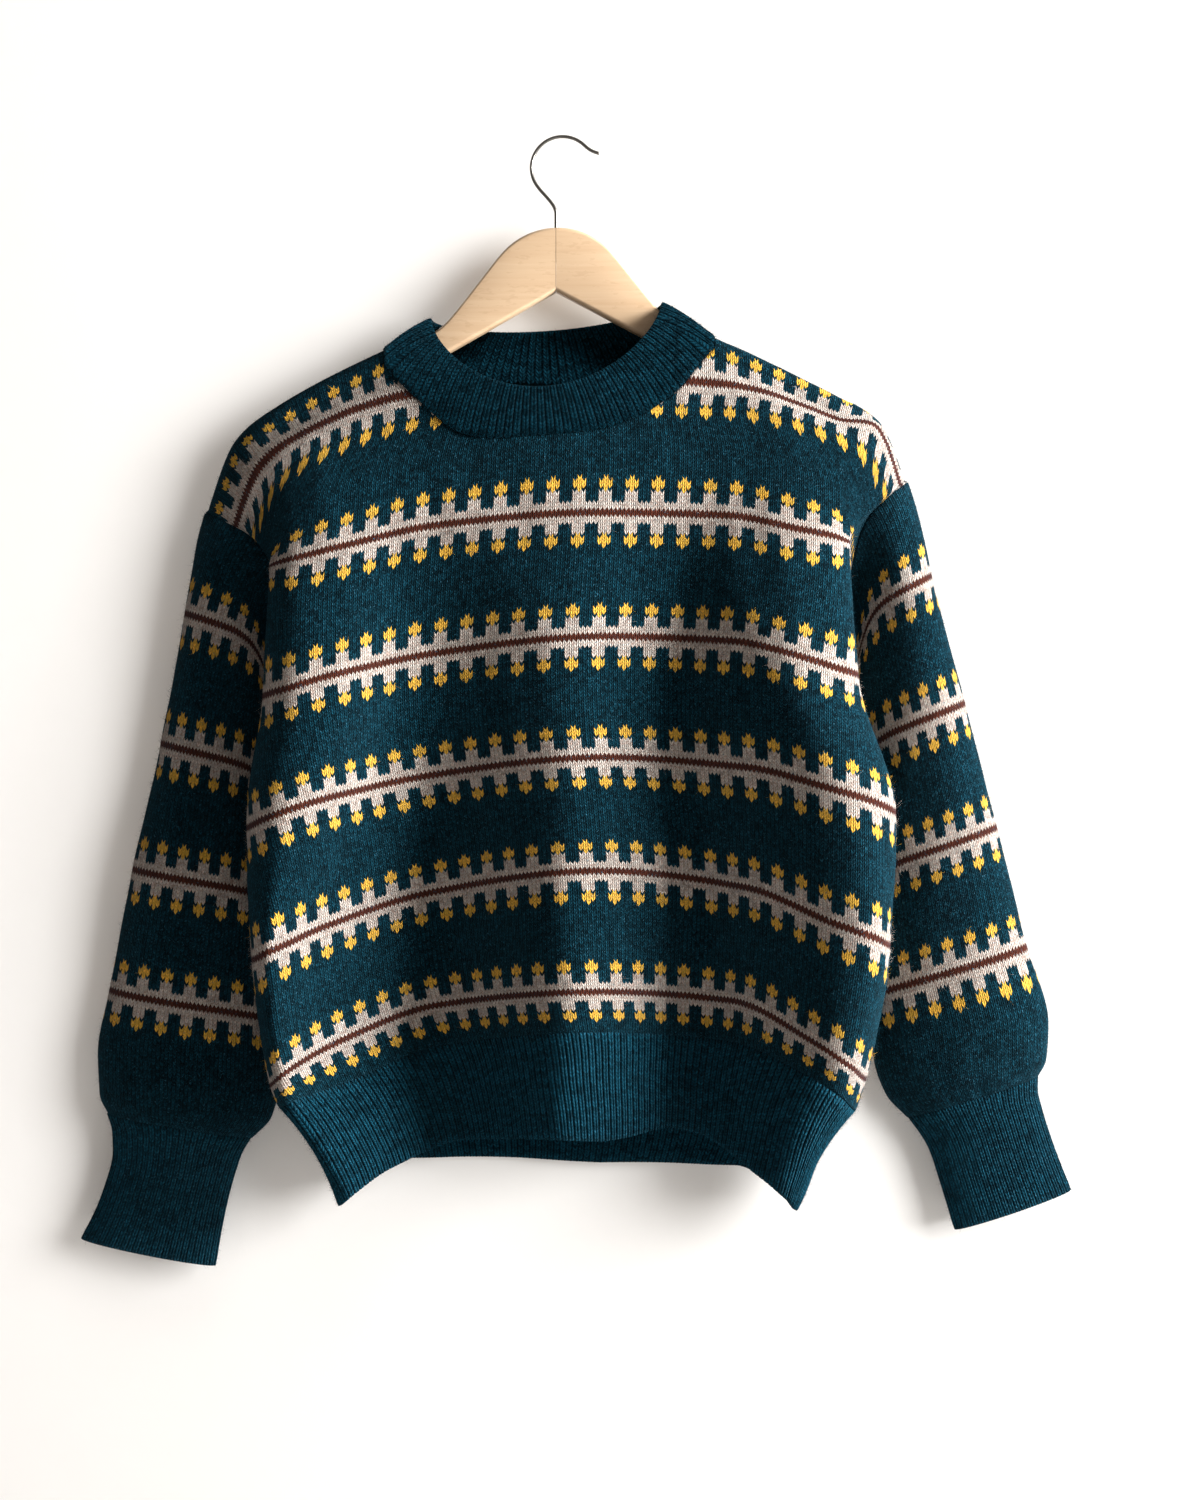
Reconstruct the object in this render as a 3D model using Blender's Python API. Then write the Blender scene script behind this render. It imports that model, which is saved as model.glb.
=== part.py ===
"""Fair isle jumper hanging on a wooden clothes hanger.

Metres in the scene, millimetres in the tables. +Z is up, the front of the
jumper faces -Y and the wall side is +Y. The origin is the inner crown of the
hook, the point that rests on whatever the hanger hangs from.

"right" and "left" in node names are the wearer's: the right sleeve is at -X.

The cloth is a 2.4 mm knitted wall. Each knitted panel is a surface in
knitting coordinates: k counts pattern repeats (6 stitches) across the panel
and v counts rows up from the hem rib, so a row of the table below is one
knitted row as it hangs.
"""

import math

import bpy
import numpy as np

for _ob in list(bpy.data.objects):
    bpy.data.objects.remove(_ob, do_unlink=True)

MM = 0.001

# ----------------------------------------------------------------- sizes (mm)
WALL = 2.4              # knitted fabric
GAP = 0.34              # between two pieces at a seam
ROW = 2.34              # height of one knitted row
REPEAT = 18.1           # width of one 6-stitch repeat, relaxed
HALF_REPEATS = 16.5     # front and back are 33 repeats wide each
V_TOP = 216.0           # rows from hem rib to shoulder seam
V_UNDERARM = 146.5      # row where the armhole starts
NECK_K = (-6.7, 6.2)    # neckline ends on the shoulder seam, in repeats
NECK_FRONT_ROWS = 31.8  # depth of the front neckline, in rows
NECK_BACK_ROWS = 7.8
NECK_X = (-127.1, 106.5)    # the neckline ends, in mm
NECK_POWER = 3.0
NECK_SKEW = 0.08            # it hangs a little lower towards the right
NECK_SIDE_ROWS = (2.6, 5.2, 7.8)   # steps of its straight sides, in rows

HANGER_X = -5.6         # joint line of the two hanger halves
HANGER_TOP = -64.6      # top of the wood
HANGER_TILT = math.radians(1.3)
HANGER_REACH = 205.0    # centre to tip
HANGER_THICK = 12.0
HANGER_EDGE = 3.2       # rounding of the wood's edges
WIRE = 2.4              # hook wire diameter
HOOK_R = 22.4           # centreline radius of the hook
SHANK_IN = 24.0         # length of the hook's shank inside the wood

# ------------------------------------------------- rows of the front panel
# x_l, x_r: silhouette; z_c: height at the crest of the arch; l50..l100 and
# r50..r100: heights at 50, 80, 92 and 100 % of the way to the silhouette;
# y_s: depth at the silhouettes; k_l, k_r: repeats seen between wale 0 and each
# silhouette.
FRONT_COLUMNS = ("v", "x_l", "x_r", "z_c", "l50", "l80", "l92", "l100",
                 "r50", "r80", "r92", "r100", "y_s", "k_l", "k_r")
FRONT_ROWS = {
    "hem":      (0.0, -198, 204, -633, -642, -668, -678, -685, -639, -663, -678, -688, -20, 15.9, 16.1),
    "band_5":   (14.0, -204, 211, -605, -614, -640, -657, -671, -611, -641, -657, -666, -22, 15.6, 16.0),
    "band_4":   (51.0, -216, 228, -521, -536, -560, -575, -583, -532, -558, -567, -573, -26, 15.2, 15.7),
    "band_3":   (88.0, -221, 232, -442, -455, -473, -484, -492, -449, -466, -474, -481, -26, 14.1, 15.3),
    "band_2":   (125.0, -210, 206, -358, -370, -386, -395, -400, -361, -374, -381, -385, -26, 12.4, 13.1),
    "band_1":   (162.0, -206, 201, -272, -281, -297, -304, -308, -274, -284, -288, -291, -22, 11.5, 11.9),
    "armpit":   (178.0, -209, 208, -231, -243, -263, -276, -297, -235, -249, -258, -276, -18, 12.2, 12.6),
    "shoulder": (199.0, -231, 241, -178, -192, -218, -240, -281, -184.5, -203, -218.5, -247, -13, 16.0, 16.0),
    "seam":     (216.0, -255, 244, -102, -154.3, -194, -217.5, -267, -149.8, -185.9, -201.5, -246, 8, 16.4, 16.4),
}
CREST_X = (26.0, -5.0)       # x of the crest below the yoke, at the seam
SEAM_BEHIND = {"right": 0.0, "left": 8.5}    # rows from the ridge back to the
SEAM_STRAIGHT = 0.37         # shoulder seam at the armhole; none up to here
ARMHOLE_START = {"right": 0.0, "left": -1.0}     # angle of the same point

# ---------------------------------------------------- rows of the back panel
BACK_COLUMNS = ("v", "z_c", "y_c", "fall_power")
BACK_ROWS = {
    "hem":      (0.0, -667, 28, 2.2),
    "band_5":   (14.0, -634, 30, 2.2),
    "band_4":   (51.0, -546, 32, 2.2),
    "band_3":   (88.0, -459, 33, 2.2),
    "band_2":   (125.0, -372, 33, 2.2),
    "band_1":   (162.0, -285, 31, 2.3),
    "shoulder": (199.0, -197, 27, 2.4),
    "neck":     (216.0, -151, 25, 2.4),
}

# how both panels fold over the hanger, from the shoulder seam down
OVER_COLUMNS = ("rows_down", "out", "drop")
OVER_ROWS = {
    "seam":  (0.0, 0.0, 0.0),
    "ridge": (2.5, 5.9, 0.3),
    "over":  (4.6, 9.4, 3.8),
    "face":  (8.0, 10.9, 11.4),
    "down":  (19.0, 13.0, 37.0),
}

# ---------- tuck line: where the side of the body turns in behind its front
TUCK_COLUMNS = ("v", "x_l", "z_l", "x_r", "z_r", "y", "seam_share")
TUCK_ROWS = {
    "hem":      (0.0, -187, -690, 194, -692, 12, 0.35),
    "band_5":   (14.0, -191, -677, 196, -671, 13, 0.35),
    "band_4":   (51.0, -194, -588, 197, -577, 14, 0.50),
    "band_3":   (88.0, -194, -499, 196, -487, 14, 0.85),
    "band_2":   (125.0, -192, -419, 196, -402, 13, 1.0),
    "low":      (138.0, -192, -388, 196, -371, 13, 1.0),
}

# ----------------------------------------------- how far forward the front is
# Five upright folds: x and y of the left crest, the brink and the foot of the
# steep drop beside it, the first valley, the middle crest, the second valley,
# the ledge past its sharp crease, and the right crest.
DEPTH_COLUMNS = ("v", "crest_l_x", "crest_l_y", "brink_x", "brink_y", "foot_x",
                 "foot_y", "valley_a_x", "valley_a_y", "crest_m_x", "crest_m_y",
                 "valley_b_x", "valley_b_y", "ledge_x", "ledge_y", "crest_r_x", "crest_r_y")
DEPTH_ROWS = {
    "hem":      (0.0, -188, -62, -181, -56, -156, -36, -88, -4, 4, -58, 98, -14, 138, -46, 184, -76),
    "band_5":   (14.0, -192, -66, -186, -61, -162, -40, -88, -2, 4, -57, 98, -13, 140, -46, 190, -78),
    "band_4":   (51.0, -200, -70, -194, -66, -165, -38, -94, -2, 5, -47, 98, -15, 142, -46, 205, -76),
    "band_3":   (88.0, -190, -69, -178, -66, -122, -22, -98, -15, 4, -45, 79, -20, 135, -48, 192, -70),
    "band_2":   (125.0, -182, -61, -157, -56, -118, -30, -93, -24, 0, -41, 80, -24, 122, -44, 162, -57),
    "band_1":   (162.0, -176, -40, -152, -37, -120, -30, -95, -28, 0, -33, 84, -28, 124, -33, 164, -39),
    "armpit":   (178.0, -172, -32, -150, -30, -122, -27, -97, -25, 0, -27, 86, -25, 124, -27, 166, -32),
    "shoulder": (199.0, -170, -21, -150, -20.5, -124, -20, -98, -19.5, 0, -20, 88, -19, 124, -20, 168, -21),
    "seam":     (216.0, -170, -1, -150, -0.5, -124, 0, -98, 0, 0, 0, 88, 0, 124, 0, 168, -1),
}
FRONT_PLANE = -45.0     # the heights in the row tables are those of this depth;
LEAN = 1650.0           # a row in front of it hangs lower below LEVEL, and
LEVEL = -437.0          # higher above it, by the height over this length

# ---------------------------------------------------------- back panel folds
# x at each band, half width, and depth towards the body at each band
FOLD_BANDS = (-272.0, -358.0, -448.0, -533.0, -612.0, -700.0)
FOLD_COLUMNS = ("x", "half_width", "depth")
BACK_FOLDS = {
    "back_left":  ((-120, -118, -112, -108, -106, -104), 24, (1, 4, 7, 8, 8, 6)),
    "back_mid":   ((20, 16, 12, 8, 6, 4), 30, (0, 2, 4, 6, 6, 5)),
    "back_right": ((124, 122, 118, 116, 115, 112), 26, (1, 4, 6, 8, 8, 6)),
}

# ------------------------------------------------------------------ hem rib
HEM_COLUMNS = ("t", "x_l", "x_r", "z_c", "l50", "l80", "l92", "l100",
               "r50", "r80", "r92", "r100", "y_s")
HEM_ROWS = {
    "seam":   (0.00, -198, 204, -633, -642, -668, -678, -685, -639, -663, -678, -688, -20),
    "gather": (0.18, -184, 191, -646, -655, -681, -692, -701, -650, -676, -691, -703, -19),
    "upper":  (0.45, -170, 177, -668, -674, -699, -713, -724, -671, -699, -714, -725, -17),
    "lower":  (0.75, -162, 170, -691, -694, -716, -731, -744, -692, -719, -734, -745, -14),
    "edge":   (1.00, -158, 164, -709, -708, -728, -744, -758, -707, -734, -749, -759, -11),
}
HEM_DEPTH_ROWS = {         # the same columns as DEPTH_ROWS, from the share t
    "seam":   (0.0, -188, -62, -181, -56, -156, -36, -88, -4, 4, -58, 98, -14, 138, -46, 184, -76),
    "middle": (0.5, -160, -55, -153, -51, -132, -35, -80, -8, 3, -57, 98, -18, 130, -48, 161, -72),
    "edge":   (1.0, -146, -46, -139, -43, -119, -33, -76, -12, 2, -54, 98, -22, 122, -46, 149, -66),
}
HEM_WAVE_COLUMNS = ("x", "half_width", "rise")
HEM_WAVES = (              # where the free edge of the front rib rides up
    (74.0, 24.0, 7.5),
    (-30.0, 30.0, 1.0),
)
HEM_BACK_COLUMNS = ("t", "z_c", "l50", "l80", "l92", "r50", "r80", "r92")
HEM_BACK_ROWS = {
    "seam":   (0.00, -667, -671.6, -679.9, -684.5, -672.0, -681.1, -686.1),
    "edge":   (1.00, -736, -732.0, -731.5, -738.0, -736.5, -737.0, -742.0),
}
HEM_TUCK = ((11.0, 10.0), (9.0, 9.0))     # how far in the seam lies, l and r, top, bottom
HEM_TUCK_Y = 12.0
HEM_SIDE_RISE = 9.0         # how far the free edge rides up at the side seam

# ------------------------------------------------------------------ sleeves
# outer and inner edge of the sleeve for a ring of knitting, how far the ring
# dives towards the armpit, mid depth, depth to front and back, and how much
# thinner the sleeve is on the side of the body
SLEEVE_COLUMNS = ("row", "x_out", "z_out", "x_in", "z_in", "dive",
                  "y_mid", "front", "back", "skew")
SLEEVE_RIGHT = {          # the wearer's right, at -X
    "armhole": (0.0, -256.5, -267.5, -197.0, -295.5, 73, 11, 23, 21, 0.0),
    "upper":   (12.0, -263, -291, -209, -318, 60, 13, 26, 22, 0.2),
    "band_1":  (31.0, -271, -339, -211, -359, 40, 15, 33, 23, 0.45),
    "band_2":  (68.0, -289, -432, -208, -452, 18, 17, 32, 23, 0.58),
    "band_3":  (105.0, -308, -522, -204, -541, 7, 10, 28, 25, 0.58),
    "band_4":  (142.0, -326, -609, -207, -630, 2, 17, 27, 22, 0.5),
    "full":    (162.0, -334, -656, -208, -677, 0, 16, 24, 22, 0.35),
    "turn":    (172.0, -333, -683, -213, -700, 0, 15, 20, 19, 0.2),
    "cuff":    (178.0, -328, -698, -226, -716, 0, 14, 15, 15, 0.08),
}
SLEEVE_LEFT = {           # the wearer's left, at +X
    "armhole": (0.0, 245.6, -245.4, 200.0, -280.5, 71, 11, 23, 21, 0.0),
    "upper":   (12.0, 253, -268, 207, -302, 60, 13, 26, 22, 0.2),
    "band_1":  (31.0, 263, -312, 210, -340, 42, 15, 33, 23, 0.45),
    "band_2":  (68.0, 287, -403, 210, -434, 18, 17, 32, 23, 0.58),
    "band_3":  (105.0, 310, -492, 214, -526, 7, 17, 30, 23, 0.58),
    "band_4":  (142.0, 332, -578, 219, -613, 2, 17, 27, 22, 0.5),
    "full":    (160.0, 347, -631, 225, -660, 0, 16, 24, 22, 0.35),
    "turn":    (171.0, 345, -658, 234, -684, 0, 15, 20, 19, 0.2),
    "cuff":    (177.0, 340, -671, 248, -701, 0, 14, 15, 15, 0.08),
}
CUFF_COLUMNS = ("t", "x_out", "z_out", "x_in", "z_in", "half_depth")
CUFF_RIGHT = {
    "seam":  (0.00, -328, -698, -226, -716, 15),
    "pull":  (0.13, -323.5, -710, -233, -726, 13),
    "wrist": (0.30, -323, -725, -238, -740, 12),
    "mid":   (0.60, -330, -753, -245, -767, 11),
    "edge":  (1.00, -347, -789, -252, -808, 11),
}
CUFF_LEFT = {
    "seam":  (0.00, 340, -671, 248, -701, 15),
    "pull":  (0.13, 339, -681, 257, -712, 13),
    "wrist": (0.30, 342, -694, 264, -724, 12),
    "mid":   (0.60, 350, -719, 272, -748, 11),
    "edge":  (1.00, 364, -754, 282, -782, 11),
}
CUFF_Y = 14.0

# ----------------------------------------------------------------- neckband
NECK_MID_X = -12.4
NECK_HALF_X = 81.8
NECK_SIDE_Z = (-130.0, -118.4)   # height of the free edge at -X and at +X
NECK_FRONT = (40.0, 59.0)        # how far forward and how far down it dips
NECK_BACK = (20.0, 10.0)
NECKBAND_SWELL = 2.2

# -------------------------------------------------------------- mesh density
ROW_LEVELS_LOW = (0, 12, 28, 46, 64, 82, 100, 118, 133, 146.5)
ROW_SHARES_HIGH = (0.0, 0.18, 0.35, 0.52, 0.69, 0.83, 0.905, 0.955, 1.0)
K_COLUMNS_SIDE_L = (-16.5, -15.8, -14.9, -13.9, -12.9, -11.7, -10.4, -9.1, -7.8)
K_COLUMNS_SIDE_R = (7.3, 8.1, 8.7, 9.3, 9.9, 10.7, 11.7, 12.9, 13.9, 14.9, 15.8, 16.5)
NECK_STEPS = 11


# ===================================================================== tools
def pchip(xs, ys, q):
    """Monotone cubic through the points (xs, ys), read at q."""
    xs = np.asarray(xs, float)
    ys = np.asarray(ys, float)
    q = np.asarray(q, float)
    h = np.diff(xs)
    d = np.diff(ys) / h
    m = np.zeros_like(ys)
    if len(xs) == 2:
        m[:] = d[0]
    else:
        for i in range(1, len(xs) - 1):
            if d[i - 1] * d[i] > 0:
                w1 = 2 * h[i] + h[i - 1]
                w2 = h[i] + 2 * h[i - 1]
                m[i] = (w1 + w2) / (w1 / d[i - 1] + w2 / d[i])
        m[0] = ((2 * h[0] + h[1]) * d[0] - h[0] * d[1]) / (h[0] + h[1])
        if m[0] * d[0] <= 0:
            m[0] = 0.0
        elif d[0] * d[1] <= 0 and abs(m[0]) > 3 * abs(d[0]):
            m[0] = 3 * d[0]
        m[-1] = ((2 * h[-1] + h[-2]) * d[-1] - h[-1] * d[-2]) / (h[-1] + h[-2])
        if m[-1] * d[-1] <= 0:
            m[-1] = 0.0
        elif d[-1] * d[-2] <= 0 and abs(m[-1]) > 3 * abs(d[-1]):
            m[-1] = 3 * d[-1]
    i = np.clip(np.searchsorted(xs, q, side="right") - 1, 0, len(xs) - 2)
    t = np.clip((q - xs[i]) / h[i], 0.0, 1.0)
    t2, t3 = t * t, t * t * t
    return ((2 * t3 - 3 * t2 + 1) * ys[i] + (t3 - 2 * t2 + t) * h[i] * m[i]
            + (-2 * t3 + 3 * t2) * ys[i + 1] + (t3 - t2) * h[i] * m[i + 1])


def smooth(a, b, x):
    t = np.clip((x - a) / (b - a), 0.0, 1.0)
    return t * t * (3 - 2 * t)


def read(columns, rows, at):
    """Every column of a table at the position `at` of its first column."""
    keys = [r[0] for r in rows.values()]
    return {c: float(pchip(keys, [r[i + 1] for r in rows.values()], at))
            for i, c in enumerate(columns[1:])}


def arc(points):
    d = np.linalg.norm(np.diff(points, axis=0), axis=1)
    return np.concatenate([[0.0], np.cumsum(d)])


def unit(v):
    n = np.linalg.norm(v, axis=-1, keepdims=True)
    return v / np.where(n < 1e-9, 1.0, n)


# ============================================================ armhole, sleeve
def ring_point(p, phi, side):
    """Point of a sleeve ring: phi 0 is the outer edge, pi the armpit side,
    0..pi runs over the front and pi..2 pi over the back."""
    phi = np.asarray(phi, float)
    c, s = np.cos(phi), np.sin(phi)
    inner = (1 - c) / 2
    x = p["x_out"] + (p["x_in"] - p["x_out"]) * inner
    z = p["z_out"] + (p["z_in"] - p["z_out"]) * inner - p["dive"] * inner ** 8
    depth = np.where(s > 0, p["front"], p["back"])
    y = p["y_mid"] - 3 + 6 * inner - depth * s * (1 - p["skew"] * inner)
    return np.stack([x, y, z], -1)


SLEEVES = {"right": SLEEVE_RIGHT, "left": SLEEVE_LEFT}
_ring_cache = {}


def ring(side, face, row):
    """(share, points, phi) of half a sleeve ring, from the wale that meets
    the shoulder seam to the underarm, over the front or over the back."""
    key = (side, face, row)
    if key not in _ring_cache:
        table = SLEEVES[side]
        last_row = list(table.values())[-1][0]
        p = read(SLEEVE_COLUMNS, table, min(row, last_row))
        first = ARMHOLE_START[side] * float(smooth(60.0, 0.0, row))
        phi = np.linspace(first, math.pi if face == "front" else -math.pi, 241)
        pts = ring_point(p, phi, side)
        a = arc(pts)
        _ring_cache[key] = (a / a[-1], pts, phi)
    return _ring_cache[key]


def armhole(side, face, v):
    """Point of the armhole for row v of the front or back panel."""
    share, pts, _ = ring(side, face, 0.0)
    f = (V_TOP - v) / (V_TOP - V_UNDERARM)
    return np.array([np.interp(f, share, pts[:, i]) for i in range(3)])


def sleeve_point(side, face, share, row):
    s, pts, _ = ring(side, face, row)
    return np.array([np.interp(share, s, pts[:, i]) for i in range(3)])


# ====================================================================== body
def folds(table, x, z):
    """Depth that the folds of the back add at (x, z)."""
    out = np.zeros_like(x)
    bands = np.array(FOLD_BANDS)[::-1]
    for xs, width, depth in table.values():
        xf = pchip(bands, np.array(xs, float)[::-1], np.clip(z, bands[0], bands[-1]))
        d = pchip(bands, np.array(depth, float)[::-1], np.clip(z, bands[0], bands[-1]))
        d = d * smooth(FOLD_BANDS[0] + 70, FOLD_BANDS[0], z)
        t = (x - xf) / width
        out += d * np.exp(-t * t)
    return out


def tuck(side, v):
    t = read(TUCK_COLUMNS, TUCK_ROWS, min(v, 138.0))
    s = "l" if side == "right" else "r"
    low = np.array([t["x_" + s], t["y"], t["z_" + s]])
    share = t["seam_share"]
    if v > 138.0:
        f = (v - 138.0) / (V_UNDERARM - 138.0)
        under = armhole(side, "front", V_UNDERARM)
        low = low * (1 - f) + under * f
        share = share * (1 - f) + f
    return low, share


def over(down):
    """How far forward and down the cloth is, `down` rows in front of the
    ridge of the shoulder; behind the ridge `down` is negative."""
    rows = [r[0] for r in OVER_ROWS.values()]
    d = np.abs(down)
    return (-np.sign(down) * pchip(rows, [r[1] for r in OVER_ROWS.values()], d),
            pchip(rows, [r[2] for r in OVER_ROWS.values()], d))


DEPTH_POINTS = ("crest_l", "brink", "foot", "valley_a", "crest_m", "valley_b",
                "ledge", "crest_r")


def depth_line(d, s, x, xs, ys):
    """Depth of a front row at x: its folds, rounded off to the silhouette."""
    kx = [d[c + "_x"] for c in DEPTH_POINTS]
    ky = [d[c + "_y"] for c in DEPTH_POINTS]
    y = pchip([kx[0] - 10] + kx + [kx[-1] + 10], [ky[0]] + ky + [ky[-1]], x)
    cx, cy = (kx[0], ky[0]) if s == "l" else (kx[-1], ky[-1])
    t = np.clip((x - cx) / (xs - cx), 0.0, 1.0)
    return np.where(t > 0, ys + (cy - ys) * (1 - t ** 2.2) ** (1 / 2.2), y)


def half_row(p, s, crest, xs, ys, d=None, n=140):
    """From the crest to one silhouette: x, y, z. The back is a squared
    ellipse; the front follows its folds `d`."""
    th = np.linspace(0, math.pi / 2, n)
    xi = np.sin(th) ** (2 / 2.35)
    eta = np.cos(th) ** (2 / 2.35)
    x = crest + (xs - crest) * xi
    z = pchip((0, 0.5, 0.8, 0.92, 1.0),
              [p["z_c"]] + [p[s + c] for c in ("50", "80", "92", "100")], xi)
    if d is None:
        return np.stack([x, ys + (p["y_c"] - ys) * eta, z], -1), xi
    y = depth_line(d, s, x, xs, ys)
    lean = (z - LEVEL) / LEAN * (y - FRONT_PLANE) * (1 - smooth(0.92, 1.0, xi))
    return np.stack([x, y, z + lean], -1), xi


def wrap_curve(a, b, n=24):
    """From the silhouette a back and in to b, leaving a straight back."""
    t = np.linspace(0, 1, n)[:, None]
    c = np.array([a[0] + 0.12 * (b[0] - a[0]), a[1] + 0.62 * (b[1] - a[1]),
                  a[2] + 0.5 * (b[2] - a[2])])
    return a * (1 - t) ** 2 + 2 * c * t * (1 - t) + b * t * t


def seam_behind(side, xi):
    """Rows between the ridge of the shoulder and the seam behind it."""
    return SEAM_BEHIND[side] * np.maximum(0.0, xi - SEAM_STRAIGHT) / (1 - SEAM_STRAIGHT)


_row_cache = {}


def body_row(face, v):
    """(k, points) of a whole knitted row of the front or the back panel."""
    key = (face, round(v, 5))
    if key in _row_cache:
        return _row_cache[key]
    top = float(smooth(180.0, 199.0, v))                 # 1 where no fold is left
    p = read(FRONT_COLUMNS, FRONT_ROWS, v)
    ridge = FRONT_ROWS["seam"]
    crest = CREST_X[0] + (CREST_X[1] - CREST_X[0]) * float(smooth(162.0, V_TOP, v))
    deep = read(DEPTH_COLUMNS, DEPTH_ROWS, v)
    ends = {}
    for side, s in (("right", "l"), ("left", "r")):
        if v > V_UNDERARM:
            ends[side] = (armhole(side, face, v), 1.0)
        else:
            ends[side] = tuck(side, v)
    pts_by_side = {}
    for side, s in (("right", "l"), ("left", "r")):
        end, share = ends[side]
        sign = -1.0 if side == "right" else 1.0
        if face == "front":
            base = dict(p)
            sil = np.array([p["x_" + s], p["y_s"], p[s + "100"]])
            rim = end - np.array([sign * 2.2, 0.6, -0.4])
            g = 0.0
            if v > V_UNDERARM:
                g = max(top, float(smooth(4.0, 14.0, sign * (end[0] - sil[0]))))
            sil = sil * (1 - g) + rim * g
        else:
            b = read(BACK_COLUMNS, BACK_ROWS, v)
            rise = b["z_c"] - (end[2] + 2.0)
            base = {"z_c": b["z_c"], "y_c": b["y_c"]}
            for c, f in (("50", 0.5), ("80", 0.8), ("92", 0.92), ("100", 1.0)):
                base[s + c] = b["z_c"] - rise * f ** b["fall_power"]
            if v > 162.0:     # the shoulder slope takes over from the arch
                g = float(smooth(162.0, 199.0, v))
                for c, f in (("50", 0.5), ("80", 0.8), ("92", 0.92), ("100", 1.0)):
                    slope = read(FRONT_COLUMNS, FRONT_ROWS,
                                 v - float(seam_behind(side, f)))[s + c]
                    base[s + c] = base[s + c] * (1 - g) + slope * g
            sil = end - np.array([sign * 7.0, -1.5, -1.0]) * (1 - top) \
                - np.array([sign * 2.2, 0.6, -0.4]) * top
        base[s + "100"] = sil[2]
        curve, xi = half_row(base, s, crest, sil[0], sil[1],
                             deep if face == "front" else None)
        # rows that lie on the hanger follow its arm, except in the neck
        rows_behind = seam_behind(side, xi)
        down = (V_TOP - v - rows_behind) if face == "front" \
            else -(V_TOP - v + rows_behind)
        fwd, drop = over(down)
        near = smooth(19.0, 8.0, np.abs(down))
        mid_x, half_x = sum(NECK_X) / 2, (NECK_X[1] - NECK_X[0]) / 2
        on = near * smooth(0.5, 1.0, np.abs(curve[:, 0] - mid_x) / half_x)
        stops = (0, 0.5, 0.8, 0.92, 1.0)
        o = {"l": 4, "r": 8}[s]
        far = ridge[{"l": 1, "r": 2}[s]]
        line = pchip(stops, (ridge[3], *ridge[o:o + 4]),
                     (curve[:, 0] - CREST_X[1]) / (far - CREST_X[1]))
        arm = pchip(stops, (ridge[3], *ridge[o:o + 3], sil[2]), xi)
        last = smooth(0.80, 1.0, xi)
        curve[:, 1] += on * (fwd + (sil[1] - fwd) * last - curve[:, 1])
        curve[:, 2] += on * ((line - drop) * (1 - last) + arm * last - curve[:, 2])
        fade = (1 - near) * (1 - xi ** 10)
        if face == "back":
            curve[:, 1] -= folds(BACK_FOLDS, curve[:, 0], curve[:, 2]) * fade
        wrap = wrap_curve(curve[-1], end) if v > V_UNDERARM or face == "front" \
            else wrap_curve(curve[-1], end, 8)
        if v <= V_UNDERARM:
            full = _front_wrap(side, v)
            cut = share * (len(full) - 1)
            i = np.arange(len(full))
            if face == "front":
                t = np.linspace(0, cut, 24)
                wrap = np.stack([np.interp(t, i, full[:, c]) for c in range(3)], -1)
            else:
                t = np.linspace(len(full) - 1, cut, 24)
                tail = np.stack([np.interp(t, i, full[:, c]) for c in range(3)], -1)
                wrap = np.concatenate([wrap, tail[1:]]) if share < 0.999 else wrap
        pts_by_side[side] = (curve, wrap)
    lc, lw = pts_by_side["right"]
    rc, rw = pts_by_side["left"]
    if face == "front":
        parts = [(lw[::-1], -HALF_REPEATS, -p["k_l"]),
                 (np.concatenate([lc[::-1], rc[1:]]), -p["k_l"], p["k_r"]),
                 (rw, p["k_r"], HALF_REPEATS)]
        ks, pts = [], []
        for seg, k0, k1 in parts:
            a = arc(seg)
            if a[-1] < 1e-6:
                continue
            ks.append(k0 + (k1 - k0) * a / a[-1])
            pts.append(seg)
        pts_all = np.concatenate([pts[0]] + [q_[1:] for q_ in pts[1:]])
        k_all = np.concatenate([ks[0]] + [q_[1:] for q_ in ks[1:]])
    else:
        pts_all = np.concatenate([lw[::-1], lc[::-1][1:], rc[1:], rw[1:]])
        a = arc(pts_all)
        k_all = -HALF_REPEATS + 2 * HALF_REPEATS * a / a[-1]
    # on the shoulders the repeats are even from the neckline to the armhole
    even = float(smooth(180.0, V_TOP, v))
    a = arc(pts_all)
    marks = [0.0] + [float(np.interp(x, pts_all[:, 0], a)) for x in NECK_X] + [a[-1]]
    k_even = np.interp(a, marks, (-HALF_REPEATS, *NECK_K, HALF_REPEATS))
    k_all = k_all * (1 - even) + k_even * even
    _row_cache[key] = (k_all, pts_all)
    return _row_cache[key]


def _front_wrap(side, v):
    p = read(FRONT_COLUMNS, FRONT_ROWS, v)
    s = "l" if side == "right" else "r"
    sil = np.array([p["x_" + s], p["y_s"], p[s + "100"]])
    return wrap_curve(sil, tuck(side, v)[0], 60)


def body_point(face, k, v):
    ks, pts = body_row(face, v)
    return np.array([np.interp(k, ks, pts[:, i]) for i in range(3)])


def neck_row(face, k):
    """Top row of the panel at repeat k, cut out by the neckline."""
    k0, k1 = NECK_K
    c = (k - (k0 + k1) / 2) / ((k1 - k0) / 2)
    if abs(c) >= 1.0:
        return V_TOP
    side = V_TOP - NECK_SIDE_ROWS[-1]
    if face == "back":
        return side - (NECK_BACK_ROWS - NECK_SIDE_ROWS[-1])
    c += NECK_SKEW * (1 - c * c)
    return side - (NECK_FRONT_ROWS - NECK_SIDE_ROWS[-1]) * (1 - abs(c) ** NECK_POWER)


def neck_columns():
    """Columns inside the neckline, without its two straight sides."""
    k0, k1 = NECK_K
    th = np.linspace(0, math.pi, NECK_STEPS + 1)[1:-1]
    return list((k0 + k1) / 2 - (k1 - k0) / 2 * np.cos(th))


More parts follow.
